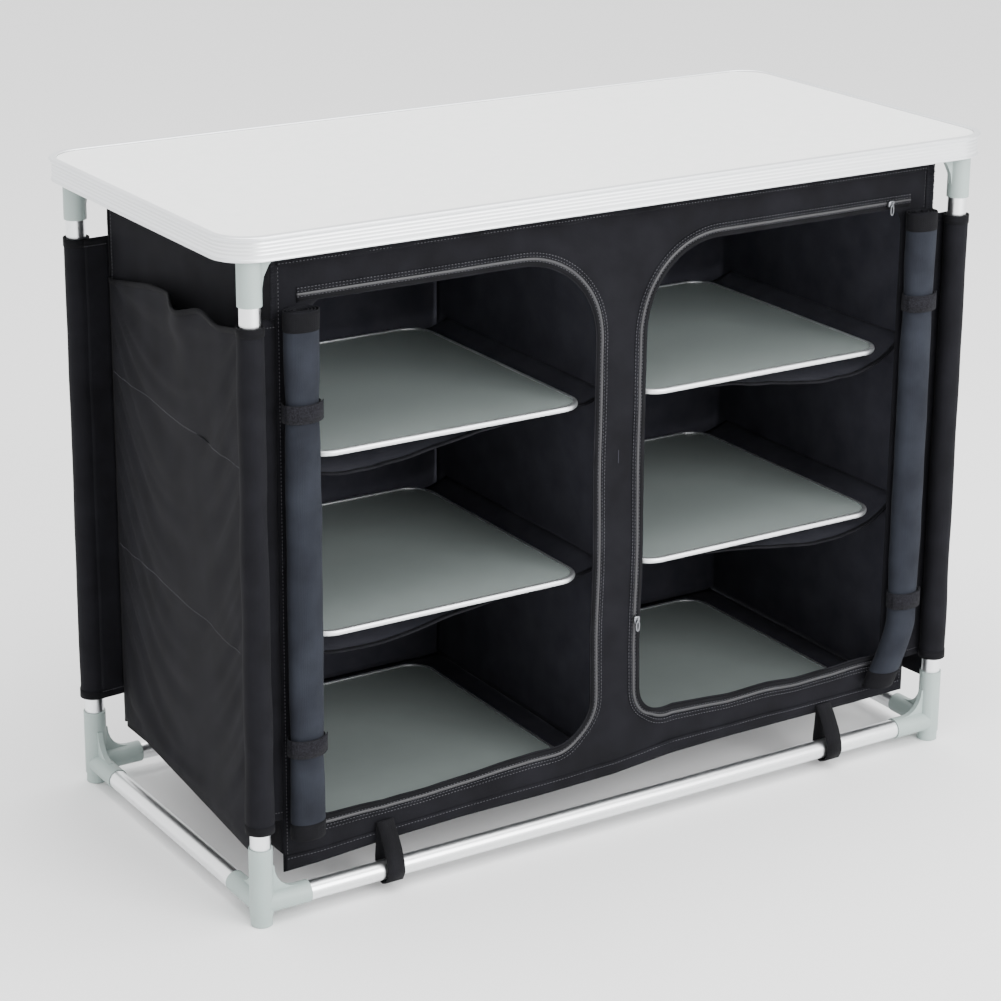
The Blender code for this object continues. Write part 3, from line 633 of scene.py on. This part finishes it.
def settle(item, sewn, frames, slack, reach):
    """Lets a sheet hang under its weight by cloth simulation and keeps the result as its mesh.
    Sewn picks the points that stay, slack is how much longer the cloth is than what it spans,
    and reach gives how far each point may move."""
    start = [vertex.co.copy() for vertex in item.data.vertices]
    group = item.vertex_groups.new(name="sewn")
    group.add([i for i, point in enumerate(start) if sewn(point)], 1.0, "REPLACE")
    cloth = item.modifiers.new("cloth", "CLOTH")
    cloth.settings.quality = 6
    cloth.settings.mass = 0.25
    cloth.settings.tension_stiffness = 25
    cloth.settings.compression_stiffness = 25
    cloth.settings.shear_stiffness = 12
    cloth.settings.bending_stiffness = 0.6
    cloth.settings.shrink_min = -slack
    cloth.settings.vertex_group_mass = "sewn"
    cloth.collision_settings.use_collision = False
    cloth.point_cache.frame_start = 1
    cloth.point_cache.frame_end = frames
    scene = bpy.context.scene
    for step in range(1, frames + 1):
        scene.frame_set(step)
    hung = item.evaluated_get(bpy.context.evaluated_depsgraph_get()).to_mesh()
    end = [vertex.co.copy() for vertex in hung.vertices]
    item.modifiers.remove(cloth)
    item.vertex_groups.remove(group)
    scene.frame_set(1)
    for vertex, before, after in zip(item.data.vertices, start, end):
        move = after - before
        most = reach(before)
        if move.length > 0:
            move *= most * math.tanh(move.length / most) / move.length
        vertex.co = before + move
    item.data.update()


front = grid(
    "front_panel",
    round(2 * BAG_X / STEP),
    round((BAG_HIGH - BAG_LOW) / STEP),
    front_point,
    black_cloth,
    skip=lambda middle: doorway_gap(middle.x, middle.z) < 0,
)
for vertex in front.data.vertices:
    vertex.co.z -= droop(vertex.co.x, vertex.co.z)


def front_sewn(point):
    return min(BAG_X - abs(point.x), BAG_HIGH - point.z, point.z - BAG_LOW) < 0.007


def front_reach(point):
    """Hardly any behind the rolled doors, and most along the arches and the sill."""
    if abs(point.x) > DOOR_OUTER_X - 0.020:
        return 0.0010
    return 0.0030


settle(front, front_sewn, 20, 0.010, front_reach)
thicken(front, CLOTH)
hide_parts("bag_front")

front_mesh = front.data
front_tree = BVHTree.FromPolygons(
    [vertex.co for vertex in front_mesh.vertices], [face.vertices for face in front_mesh.polygons]
)
AHEAD = Vector((0, -1, 0))


def on_front(x, z, proud):
    """The point in front of the panel at its own x and z, proud metres off it."""
    z -= droop(x, z)
    found = front_tree.find_nearest(Vector((x, FRONT_Y, z)))[0]
    return Vector((x, found.y - proud, z))


def doorway_path(sx, offset, step):
    """The line that the zip takes, offset outwards from the doorway's edge, over its arch, down
    its inner side and along its sill."""
    corners = [(DOOR_OUTER_X + 0.012, DOOR_HIGH + offset)]
    for radius, hub_z, start in (
        (ARCH_RADIUS, DOOR_HIGH - ARCH_RADIUS, 90),
        (SILL_RADIUS, DOOR_LOW + SILL_RADIUS, 180),
    ):
        for i in range(25):
            angle = math.radians(start + 90 * i / 24)
            x = DOOR_INNER_X + radius + (radius + offset) * math.cos(angle)
            corners.append((x, hub_z + (radius + offset) * math.sin(angle)))
    corners.append((DOOR_OUTER_X + 0.012, DOOR_LOW - offset))
    line = even_path([(sx * x, 0, z) for x, z in corners], step)
    return [(p.x, p.z) for p in line]


# Top and bottom hems of the front panel. The cloth is folded over and sewn down; between its
# stitches the folded edge stands off and ripples.


def hem_point(u, v):
    x = (BAG_X - 0.002) * (2 * u - 1)
    z = 0.7085 + (BAG_HIGH - 0.0005 - 0.7085) * v
    z += (1 - v) * crease(Vector((x, 0, 0)), 0.045, 0.0014, 9.1)
    loose = (1 - v) * (0.0012 + abs(crease(Vector((x, 1, 0)), 0.05, 0.0022, 2.6)))
    return on_front(x, min(z, BAG_HIGH - 0.001), 0.0009 + loose)


top_hem = grid("top_hem", 280, 6, hem_point, black_cloth)
thicken(top_hem, 0.0008)


def low_hem_point(u, v):
    x = (BAG_X - 0.002) * (2 * u - 1)
    z = BAG_LOW + 0.0004 + 0.0125 * v
    return on_front(x, z, 0.0009 + v * abs(crease(Vector((x, 2, 0)), 0.05, 0.0012, 3.6)))


low_hem = grid("bottom_hem", 280, 4, low_hem_point, black_cloth)
thicken(low_hem, 0.0008)

for name, z, proud in (("top", 0.7112, 0.0034), ("bottom", BAG_LOW + 0.0105, 0.0022)):
    line = [on_front(x, z, proud) for x in np.linspace(0.003 - BAG_X, BAG_X - 0.003, 280)]
    row = stitches(f"{name}_hem_stitching", line, [AHEAD] * len(line))

fin_rows = []
for side, sx in SIDES.items():
    fin = grid(
        f"corner_seam_{side}",
        4,
        90,
        lambda u, v: Vector(
            (
                sx * (BAG_X - 0.0035 + 0.0095 * u),
                FRONT_Y - 0.0012 - 0.0030 * u * u
                + u * noise.noise(Vector((0, sx, v * 60))) * 0.0024,
                0.655 + 0.069 * v + u * noise.noise(Vector((3, sx, v * 40))) * 0.001,
            )
        ),
        black_cloth,
    )
    thicken(fin, 0.0009)
    line = [on_front(sx * (BAG_X - 0.0045), z, 0.0010) for z in np.linspace(0.720, 0.075, 220)]
    row = stitches(f"corner_seam_stitching_{side}", line, [AHEAD] * len(line))
    fin_rows += [fin, row]


# Door zips. Half of a coil zip runs round each doorway on a tape sewn over the panel's turned
# edge: a thin cord at the very edge, a flat flap, the nylon coil and the stitched tape.

nylon_coil, tree, shader = new_material("black nylon coil", Roughness=0.5, IOR=1.53)
colour_by(tree, shader, cloud(tree, object_point(tree), 300.0), "#17171A", "#2A2A2E")

ribbed_tape = woven_material("black ribbed zip tape", "#0F0F12", "#1C1C20", 0.0032, 0.015)
coil_section = [(0.0018 * math.cos(a), 0.0013 * math.sin(a)) for a in np.linspace(0, 5.4, 7)]
cord_section = [(0.0009 * math.cos(a), 0.0009 * math.sin(a)) for a in np.linspace(0, 5.4, 7)]
flap_section = [(-0.0026, -0.0004), (-0.0026, 0.0004), (0.0026, 0.0007), (0.0026, -0.0004)]
band_section = [(-0.0028, -0.0003), (-0.0026, 0.0005), (0.0026, 0.0005), (0.0028, -0.0003)]
for side, sx in SIDES.items():
    for name, offset, step, section, stuff, proud in (
        ("zip_cord", 0.0, 0.004, cord_section, ribbed_tape, 0.0004),
        ("zip_flap", 0.0032, 0.004, flap_section, black_tape, 0.0008),
        ("zip_coil", 0.0076, 0.0016, coil_section, nylon_coil, 0.0008),
        ("zip_tape", 0.0124, 0.004, band_section, ribbed_tape, 0.0006),
    ):
        line = [on_front(x, z, proud) for x, z in doorway_path(sx, offset, step)]
        ridges = (lambda i: 1.0 + 0.28 * (i % 2)) if name == "zip_coil" else None
        piece = sweep(f"{name}_{side}", line, [AHEAD] * len(line), section, stuff, swell=ridges)
    for number, offset in ((1, 0.0052), (2, 0.0108), (3, 0.0141)):
        line = [on_front(x, z, 0.0015) for x, z in doorway_path(sx, offset, 0.004)]
        row = stitches(f"zip_stitching_{side}_{number}", line, [AHEAD] * len(line))


# Post sleeves. A strip of the bag's cloth goes round each post and back on itself, and both its
# edges are caught in the bag's corner seam. It is a little slacker towards the floor.


post_low, post_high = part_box("post_back_right")
POST_HUB = (post_low + post_high) / 2


def sleeve_plan(sx, sy, radius):
    """The strip's line from the bag's corner, round the post and back, with the way out."""
    hub = Vector((sx * POST_HUB.x, sy * POST_HUB.y, 0))
    seam = Vector((sx * (BAG_X + 0.0008), sy * (0.0015 - FRONT_Y), 0))
    line = []
    for i in range(6):
        edge = hub + Vector((0, -sy * radius, 0))
        line.append(seam + Vector((0, sy * 0.0005, 0)) + (edge - seam) * (i / 6))
    for i in range(37):
        angle = math.radians(-90 + 350 * i / 36)
        line.append(hub + radius * Vector((sx * math.cos(angle), sy * math.sin(angle), 0)))
    last = line[-1]
    for i in range(1, 7):
        line.append(last + (seam - Vector((0, sy * 0.0005, 0)) - last) * (i / 6))
    return line


for corner, (sx, sy) in CORNERS.items():
    sleeve_low, sleeve_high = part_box(f"sleeve_{corner}")
    columns = len(sleeve_plan(sx, sy, 0.012)) - 1
    hub = Vector((sx * POST_HUB.x, sy * POST_HUB.y, 0))
    seed = 3 * sx + 5 * sy

    def sleeve_point(u, v):
        z = sleeve_low.z + (sleeve_high.z - sleeve_low.z) * v
        radius = 0.0134 + 0.0014 * (1 - v) ** 1.5
        at = sleeve_plan(sx, sy, radius)[round(u * columns)]
        away = at - hub
        away.z = 0
        free = min(1.0, 6 * (1 - v), 12 * v + 0.3)
        place = Vector((at.x, at.y, z))
        fold = crease(Vector((at.x * 2, at.y * 2, z)), 0.070, 0.0007, seed)
        fold += crease(Vector((at.x * 3, at.y * 3, z * 0.4)), 0.05, 0.0003, seed + 1)
        return place + away.normalized() * fold * free

    sleeve = grid(f"post_sleeve_{corner}", columns, 92, sleeve_point, black_cloth)
    thicken(sleeve, CLOTH)
    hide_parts(f"sleeve_{corner}")
    trims = []
    for name, z, radius in (
        ("top", sleeve_high.z - 0.0045, 0.0141),
        ("bottom", sleeve_low.z + 0.0045, 0.0153),
    ):
        line = [Vector((p.x, p.y, z)) for p in sleeve_plan(sx, sy, radius)]
        outs = []
        for i in range(len(line)):
            along = line[min(i + 1, len(line) - 1)] - line[max(i - 1, 0)]
            outs.append(Vector((along.y, -along.x, 0)).normalized() * sx * sy * -1)
        hem = sweep(
            f"sleeve_hem_{name}_{corner}",
            line,
            outs,
            [(-0.0048, -0.0006), (-0.0048, 0.0004), (0.0048, 0.0004), (0.0048, -0.0006)],
            black_tape,
        )
        row = stitches(
            f"sleeve_stitching_{name}_{corner}",
            [p + o * 0.0007 + Vector((0, 0, -0.0038 if name == "top" else 0.0038))
             for p, o in zip(line, outs)],
            outs,
            pitch=0.0032,
        )
        trims += [hem, row]


# Side pockets. On each end a wide sheet runs slantwise from the bag's back corner to the front
# sleeve, open at the top, with a cloth floor between it and the wall that makes a deep pocket.

POCKET_SEAMS = (0.500, 0.295)
# The slack mouth of the pocket from back to front: how far it drops and how far it stands off.
MOUTH_U = (
    0.0, 0.10, 0.33, 0.48, 0.52, 0.55, 0.60, 0.62, 0.70, 0.74, 0.76, 0.82, 0.84, 0.86, 0.92, 1.0,
)
MOUTH_DROP = (43, 33, 15, 9.5, 8, 11, 17, 16, 6, 1, 2, 9, 10, 9, 5, 2)
MOUTH_OUT = (0, 4, 2, 3, 8, 13, 17, 17, 10, 7, 6, 3, 5, 6, 2, 0)


def mouth_shape(u, values):
    """One of the mouth's two tables at share u of its length, rounded off, in metres."""
    near = np.clip(np.linspace(u - 0.03, u + 0.03, 9), 0, 1)
    return 0.001 * float(np.mean(np.interp(near, MOUTH_U, values)))


for side, sx in SIDES.items():
    pocket_low, pocket_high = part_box(f"pocket_{side}")
    back_edge = Vector((sx * (BAG_X + 0.0010), pocket_high.y + 0.0004, 0))
    front_edge = Vector((sx * (POST_HUB.x + 0.0010), pocket_low.y + 0.0010, 0))
    run = front_edge - back_edge
    away = Vector((-run.y, run.x, 0)).normalized()
    if away.x * sx < 0:
        away = -away

    def pocket_point(u, v):
        z = pocket_low.z + (pocket_high.z - pocket_low.z) * v
        at = back_edge + run * u
        z -= mouth_shape(u, MOUTH_DROP) * max(0.0, (v - 0.45) / 0.55) ** 1.5
        move = mouth_shape(u, MOUTH_OUT) * max(0.0, (v - 0.62) / 0.38) ** 2
        place = Vector((at.x, at.y, z))
        hold = min(1.0, 14 * u, 14 * (1 - u)) * min(1.0, 0.15 + 12 * v)
        folds = crease(Vector((at.x, at.y, z * 0.45)), 0.055, 0.0013, 1.3 + sx)
        folds += crease(place, 0.09, 0.0012, 7.3 + sx)
        for seam_z in POCKET_SEAMS:
            folds -= 0.0022 * math.exp(-(((z - seam_z) / 0.007) ** 2))
        return place + away * (move + folds * hold + 0.0008)

    pocket = grid(f"side_pocket_{side}", 64, 92, pocket_point, black_cloth)

    def pocket_sewn(point):
        share = (back_edge.y - point.y) / (back_edge.y - front_edge.y)
        return share < 0.02 or share > 0.98 or point.z < pocket_low.z + 0.007

    settle(pocket, pocket_sewn, 16, 0.005, lambda point: 0.0035)
    thicken(pocket, CLOTH)
    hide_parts(f"pocket_{side}")
    tree_of_pocket = BVHTree.FromPolygons(
        [v.co for v in pocket.data.vertices], [f.vertices for f in pocket.data.polygons]
    )
    trims = []
    columns = 65
    mouth_line = [v.co.copy() for v in pocket.data.vertices][-columns:]
    mouth_line = [p + Vector((0, 0, -0.0008)) for p in mouth_line]
    binding = sweep(
        f"pocket_binding_{side}",
        mouth_line,
        [away] * columns,
        [(-0.0048, -0.0012), (-0.0048, 0.0012), (0.0006, 0.0013), (0.0014, 0), (0.0006, -0.0013)],
        black_tape,
    )
    trims.append(binding)
    for number, seam_z in enumerate(POCKET_SEAMS):
        line = []
        for u in np.linspace(0.01, 0.99, 100):
            guess = back_edge + run * float(u) + Vector((0, 0, seam_z))
            line.append(tree_of_pocket.find_nearest(guess)[0] + away * 0.0006)
        row = stitches(f"pocket_stitching_{side}_{number}", line, [away] * len(line))
        trims.append(row)

    def pouch_point(u, v):
        outer = back_edge + run * u
        inner = Vector((sx * (BAG_X + 0.0008), outer.y, 0))
        at = inner + (outer - inner) * v
        sag = 0.006 * math.sin(math.pi * v) * u
        return Vector((at.x, at.y, pocket_high.z - 0.150 - sag + crease(at, 0.05, 0.001, 2.0)))

    pouch = grid(f"pocket_floor_{side}", 48, 6, pouch_point, black_cloth)
    thicken(pouch, CLOTH)
    trims.append(pouch)


# Slings. The cloth each upper shelf lies on, sewn to the divider and to the end wall. In front
# of the shelf it is slack, and its hem droops towards the outer side.

hem_section = [(-0.0013, -0.0040), (-0.0013, 0.0006), (0, 0.0014), (0.0013, 0.0006)]
hem_section.append((0.0013, -0.0040))
for level in ("upper", "middle"):
    for side, sx in SIDES.items():
        sling_low, sling_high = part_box(f"sling_{level}_{side}")
        base = sling_low.z + 0.0006
        wall_x = max(abs(sling_low.x), abs(sling_high.x))

        def sling_point(u, v):
            x = 0.0012 + (wall_x - 0.0012) * u
            y = sling_low.y + (sling_high.y - sling_low.y) * v
            rise = max(0.0, (0.035 - x) / 0.035, (x - 0.379) / (wall_x - 0.379))
            z = base + 0.0115 * min(1.0, rise) ** 1.6
            near = math.exp(-(((y - sling_low.y) / 0.055) ** 2))
            outward = math.sin(math.pi * min(1.0, max(0.0, x - 0.03) / (wall_x - 0.03)) ** 2.2)
            z -= 0.026 * near * outward
            folds = abs(crease(Vector((x, y * 0.5, base)), 0.05, 0.0020, sx + base * 9))
            held = min(1.0, 12 * (wall_x - x))
            return Vector((sx * x, y, z - folds * (0.15 + 0.85 * near) * held))

        sling = grid(f"sling_cloth_{level}_{side}", 60, 48, sling_point, coated_cloth_painted_light)
        thicken(sling, CLOTH)
        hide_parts(f"sling_{level}_{side}")
        edge = [v.co.copy() for v in sling.data.vertices][:61]
        hem = sweep(
            f"sling_hem_{level}_{side}",
            edge,
            [AHEAD] * len(edge),
            hem_section,
            ribbed_tape,
        )


# Doors. Each door is a slate-grey panel of the same polyester with black bound ends, rolled up
# on its outer edge into a flattened roll of about four turns.

slate_cloth = woven_material("slate polyester plain weave", "#1D1F25", "#282B32", 0.0014, 0.02)
TURNS = 4.0
STRAP_Z = []
for level in ("upper", "lower"):
    strap_low, strap_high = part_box(f"strap_{level}_left")
    STRAP_Z.append((strap_low.z + strap_high.z) / 2)


def roll_size(z):
    """The roll is nipped where a strap holds it, and a little wider towards its ends."""
    nip = sum(math.exp(-(((z - at) / 0.032) ** 2)) for at in STRAP_Z)
    return 1.0 - 0.075 * nip


for side, sx in SIDES.items():
    roll_low, roll_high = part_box(f"door_roll_{side}")
    roll_y = (roll_low.y + roll_high.y) / 2
    roll_x = abs(roll_high.x + roll_low.x) / 2
    half_x = (roll_high.x - roll_low.x) / 2 - 0.0008
    half_y = (roll_high.y - roll_low.y) / 2 - 0.0008

    def rolled_point(t, z, sx=sx):
        """A point at share t of the door's width, from its hinge at the outside of the roll."""
        angle = math.radians(70) + 2 * math.pi * TURNS * t
        size = (1 - 0.68 * t) * roll_size(z)
        x = half_x * size * math.cos(angle)
        y = half_y * size * math.sin(angle)
        out = Vector((x / half_x, y / half_y, 0)).normalized()
        fold = crease(Vector((x * 1.5, y * 1.5, z * 0.7)), 0.03, 0.0007, 3 + sx) * (1 - t)
        flare = 0.9 * max(0.0, STRAP_Z[1] - 0.03 - z) ** 1.3 if sx > 0 else 0.0
        return Vector((sx * (roll_x + x + out.x * fold - flare), roll_y + y + out.y * fold, z))

    turns = round(TURNS * 36)
    door = grid(
        f"rolled_door_{side}",
        turns,
        90,
        lambda u, v: rolled_point(u, roll_low.z + 0.001 + (roll_high.z - roll_low.z - 0.002) * v),
        slate_cloth,
    )
    thicken(door, CLOTH)
    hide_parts(f"door_roll_{side}")
    trims = []
    for name, start, end in (
        ("top", roll_high.z - 0.020, roll_high.z),
        ("bottom", roll_low.z, roll_low.z + 0.018),
    ):
        binding = grid(
            f"door_binding_{name}_{side}",
            turns,
            5,
            lambda u, v: rolled_point(u, start + (end - start) * v),
            black_tape,
        )
        thicken(binding, 0.0017)
        trims.append(binding)
    line = [rolled_point(t, roll_high.z) for t in np.linspace(0, 1, turns)]
    cord = sweep(f"door_cord_{side}", line, [Vector((0, 0, 1))] * turns, cord_section, ribbed_tape)
    trims.append(cord)


# Door straps. Hook-and-loop tape 19 mm wide, sewn to the panel behind the roll, brought round
# it and pressed closed on itself, with the free end standing off a little.

hook_tape, tree, shader = new_material("black hook-and-loop tape", Roughness=0.95, IOR=1.5)
pile = cloud(tree, object_point(tree), 900.0, 3.0)
colour_by(tree, shader, pile, "#0E0E10", "#26262B", 0.35, 0.7)
raise_by(tree, shader, pile, 0.8, 0.0006)
shader.inputs["Sheen Weight"].default_value = 0.02
shader.inputs["Specular IOR Level"].default_value = 0.06

for level in ("upper", "lower"):
    for side in SIDES:
        strap_low, strap_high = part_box(f"strap_{level}_{side}")
        middle = (strap_low + strap_high) / 2
        half_x = (strap_high.x - strap_low.x) / 2 - 0.0012
        half_y = (strap_high.y - strap_low.y) / 2 - 0.0012
        half_z = (strap_high.z - strap_low.z) / 2

        def strap_line(start, end, proud, lift):
            line = []
            outs = []
            for i in range(49):
                share = i / 48
                angle = math.radians(start + (end - start) * share)
                out = Vector((math.cos(angle), math.sin(angle), 0))
                off = proud + lift * max(0.0, (share - 0.8) / 0.2) ** 2
                line.append(
                    middle + Vector(((half_x + off) * out.x, (half_y + off) * out.y, 0))
                )
                outs.append(out)
            return line, outs

        band = [(-half_z, -0.0005), (-half_z, 0.0005), (half_z, 0.0005), (half_z, -0.0005)]
        line, outs = strap_line(90, 448, -0.0012, 0)
        strap = sweep(f"door_strap_{level}_{side}", line, outs, band, hook_tape)
        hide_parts(f"strap_{level}_{side}")
        line, outs = strap_line(205, 352, 0.0001, 0.0016)
        flap = sweep(f"strap_end_{level}_{side}", line, outs, band, hook_tape)


# Rail loops. Woven webbing 21 mm wide, sewn to the foot of the front panel and passed loosely
# round the front rail, which keeps the bag from riding up.

LOOP_LINE = (
    (-0.1968, 0.076), (-0.2060, 0.063), (-0.2150, 0.048), (-0.2212, 0.033), (-0.2222, 0.022),
    (-0.2170, 0.0120), (-0.2080, 0.0080), (-0.1990, 0.0115), (-0.1942, 0.022), (-0.1940, 0.036),
    (-0.1962, 0.056), (-0.1968, 0.074),
)

webbing = woven_material("black polypropylene webbing", "#101012", "#1A1A1D", 0.0024, 0.015)
for side in SIDES:
    loop_low, loop_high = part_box(f"rail_loop_{side}")
    half = (loop_high.x - loop_low.x) / 2
    middle = (loop_high.x + loop_low.x) / 2
    line = even_path([(middle, y, z) for y, z in LOOP_LINE], 0.003)
    outs = []
    for i in range(len(line)):
        along = line[min(i + 1, len(line) - 1)] - line[max(i - 1, 0)]
        outs.append(Vector((0, along.z, -along.y)).normalized())
    tape = [(-half, -0.0006), (-half, 0.0006), (half, 0.0006), (half, -0.0006)]
    loop = sweep(f"webbing_loop_{side}", line, outs, tape, webbing)
    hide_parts(f"rail_loop_{side}")
    for number, z in enumerate((loop_high.z - 0.003, loop_high.z - 0.009)):
        across = [Vector((middle - half + 0.002 + k * 0.0024, -0.1978, z)) for k in range(8)]
        name = f"loop_stitching_{side}_{number}"
        stitches(name, across, [AHEAD] * 8, 0.0034)


# Zip sliders. Die-cast zinc, plated dark silver: a wedge body that runs on the coil, a bridge
# over it and a flat pull that hangs from the bridge.

cast_zinc, tree, shader = new_material("plated cast zinc", Metallic=1.0)
worn = cloud(tree, object_point(tree), 500.0)
colour_by(tree, shader, worn, "#66686C", "#8C8E92")
roughen_by(tree, shader, worn, 0.22, 0.4)

wire = [(0.0007 * math.cos(a), 0.0007 * math.sin(a)) for a in np.linspace(0, 5.5, 8)]
flat_bar = [(-0.0009, -0.0004), (-0.0009, 0.0004), (0.0009, 0.0004), (0.0009, -0.0004)]
for where_at, along in (("top", "X"), ("side", "Z")):
    slider_low, slider_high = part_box(f"zip_slider_{where_at}")
    body = f"zip_slider_{where_at}"
    hub = Vector(
        (
            (slider_low.x + slider_high.x) / 2,
            slider_high.y - 0.0016,
            slider_high.z - (0.004 if along == "X" else 0.005),
        )
    )
    wedge = [(0.0034, 0.0045), (0.0042, 0.0010), (0.0030, -0.0042)]
    wedge += [(-across, length) for across, length in reversed(wedge)]
    points = []
    for depth, size in ((0.0002, 0.92), (-0.0004, 1.0), (-0.0022, 1.0), (-0.0029, 0.86)):
        for across, length in wedge:
            x, z = (length, across) if along == "X" else (across, length)
            points.append(hub + Vector((x * size, depth, z * size)))
    faces = [tuple(range(6)), tuple(range(18, 24))]
    for layer in range(3):
        for i in range(6):
            k = (i + 1) % 6
            faces.append((6 * layer + i, 6 * layer + k, 6 * layer + 6 + k, 6 * layer + 6 + i))
    wedge_body = object_from(f"slider_body_{where_at}", points, faces, cast_zinc, body)
    wedge_body.modifiers.new("cast edge", "BEVEL").width = 0.0003
    arch = []
    for i in range(9):
        angle = math.radians(180 * i / 8)
        arch.append(hub + Vector((0, -0.0028 - 0.0018 * math.sin(angle), 0.0024 * math.cos(angle))))
    outs = [Vector((1, 0, 0))] * 9
    bridge = sweep(f"slider_bridge_{where_at}", arch, outs, wire, cast_zinc, body)
    pull = []
    outs = []
    for i in range(24):
        angle = math.radians(15 * i)
        spread = Vector((0.0019 * math.cos(angle), 0, 0))
        drop = -0.0068 - 0.0056 * math.copysign(abs(math.sin(angle)) ** 0.8, math.sin(angle))
        pull.append(hub + spread + Vector((0, -0.0042, drop)))
        outs.append(AHEAD)
    tab = sweep(f"slider_pull_{where_at}", pull, outs, flat_bar, cast_zinc, body, closed=True)
    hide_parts(body)


# Shelves. Six loose boards of the kind used for trays: thin board with a slate-grey laminate,
# and a slim rolled aluminium rim pressed round it.

SHELF_CORNER = 0.032
tray_laminate, tree, shader = new_material("slate melamine laminate", Roughness=0.3, IOR=1.5)
where = object_point(tree)
print_tone = cloud(tree, where, 40.0, 4.0)
colour_by(tree, shader, print_tone, "#767E7C", "#7F8785")
roughen_by(tree, shader, print_tone, 0.26, 0.36)
raise_by(tree, shader, cloud(tree, where, 700.0), 0.06)

for level in ("upper", "middle", "bottom"):
    for side in SIDES:
        dress_node(f"shelf_board_{level}_{side}", tray_laminate)
        low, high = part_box(f"shelf_rim_{level}_{side}")
        middle = (low + high) / 2
        tall = high.z - low.z
        path, normals = rounded_ring(
            (high.x - low.x) / 2, (high.y - low.y) / 2, SHELF_CORNER, high.z, middle[:2]
        )
        profile = [(-0.0050, -0.0014), (-0.0050, -0.0002), (-0.0047, 0), (-0.0022, 0)]
        profile += [(-0.0013, -0.0003), (-0.0005, -0.0010), (-0.0001, -0.0020), (0, -0.0030)]
        profile += [(0, 0.0030 - tall), (-0.0001, 0.0020 - tall), (-0.0005, 0.0010 - tall)]
        profile += [(-0.0013, 0.0003 - tall), (-0.0022, -tall), (-0.0047, -tall)]
        profile += [(-0.0050, 0.0002 - tall), (-0.0050, 0.0014 - tall)]
        profile += [(-0.0012, 0.0014 - tall), (-0.0012, -0.0014)]
        rim = sweep(
            f"tray_rim_{level}_{side}",
            path,
            normals,
            [(z, out) for out, z in profile],
            satin_aluminium,
            f"shelf_{level}_{side}",
            closed=True,
        )
        soften(rim, 35)
        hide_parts(f"shelf_rim_{level}_{side}")
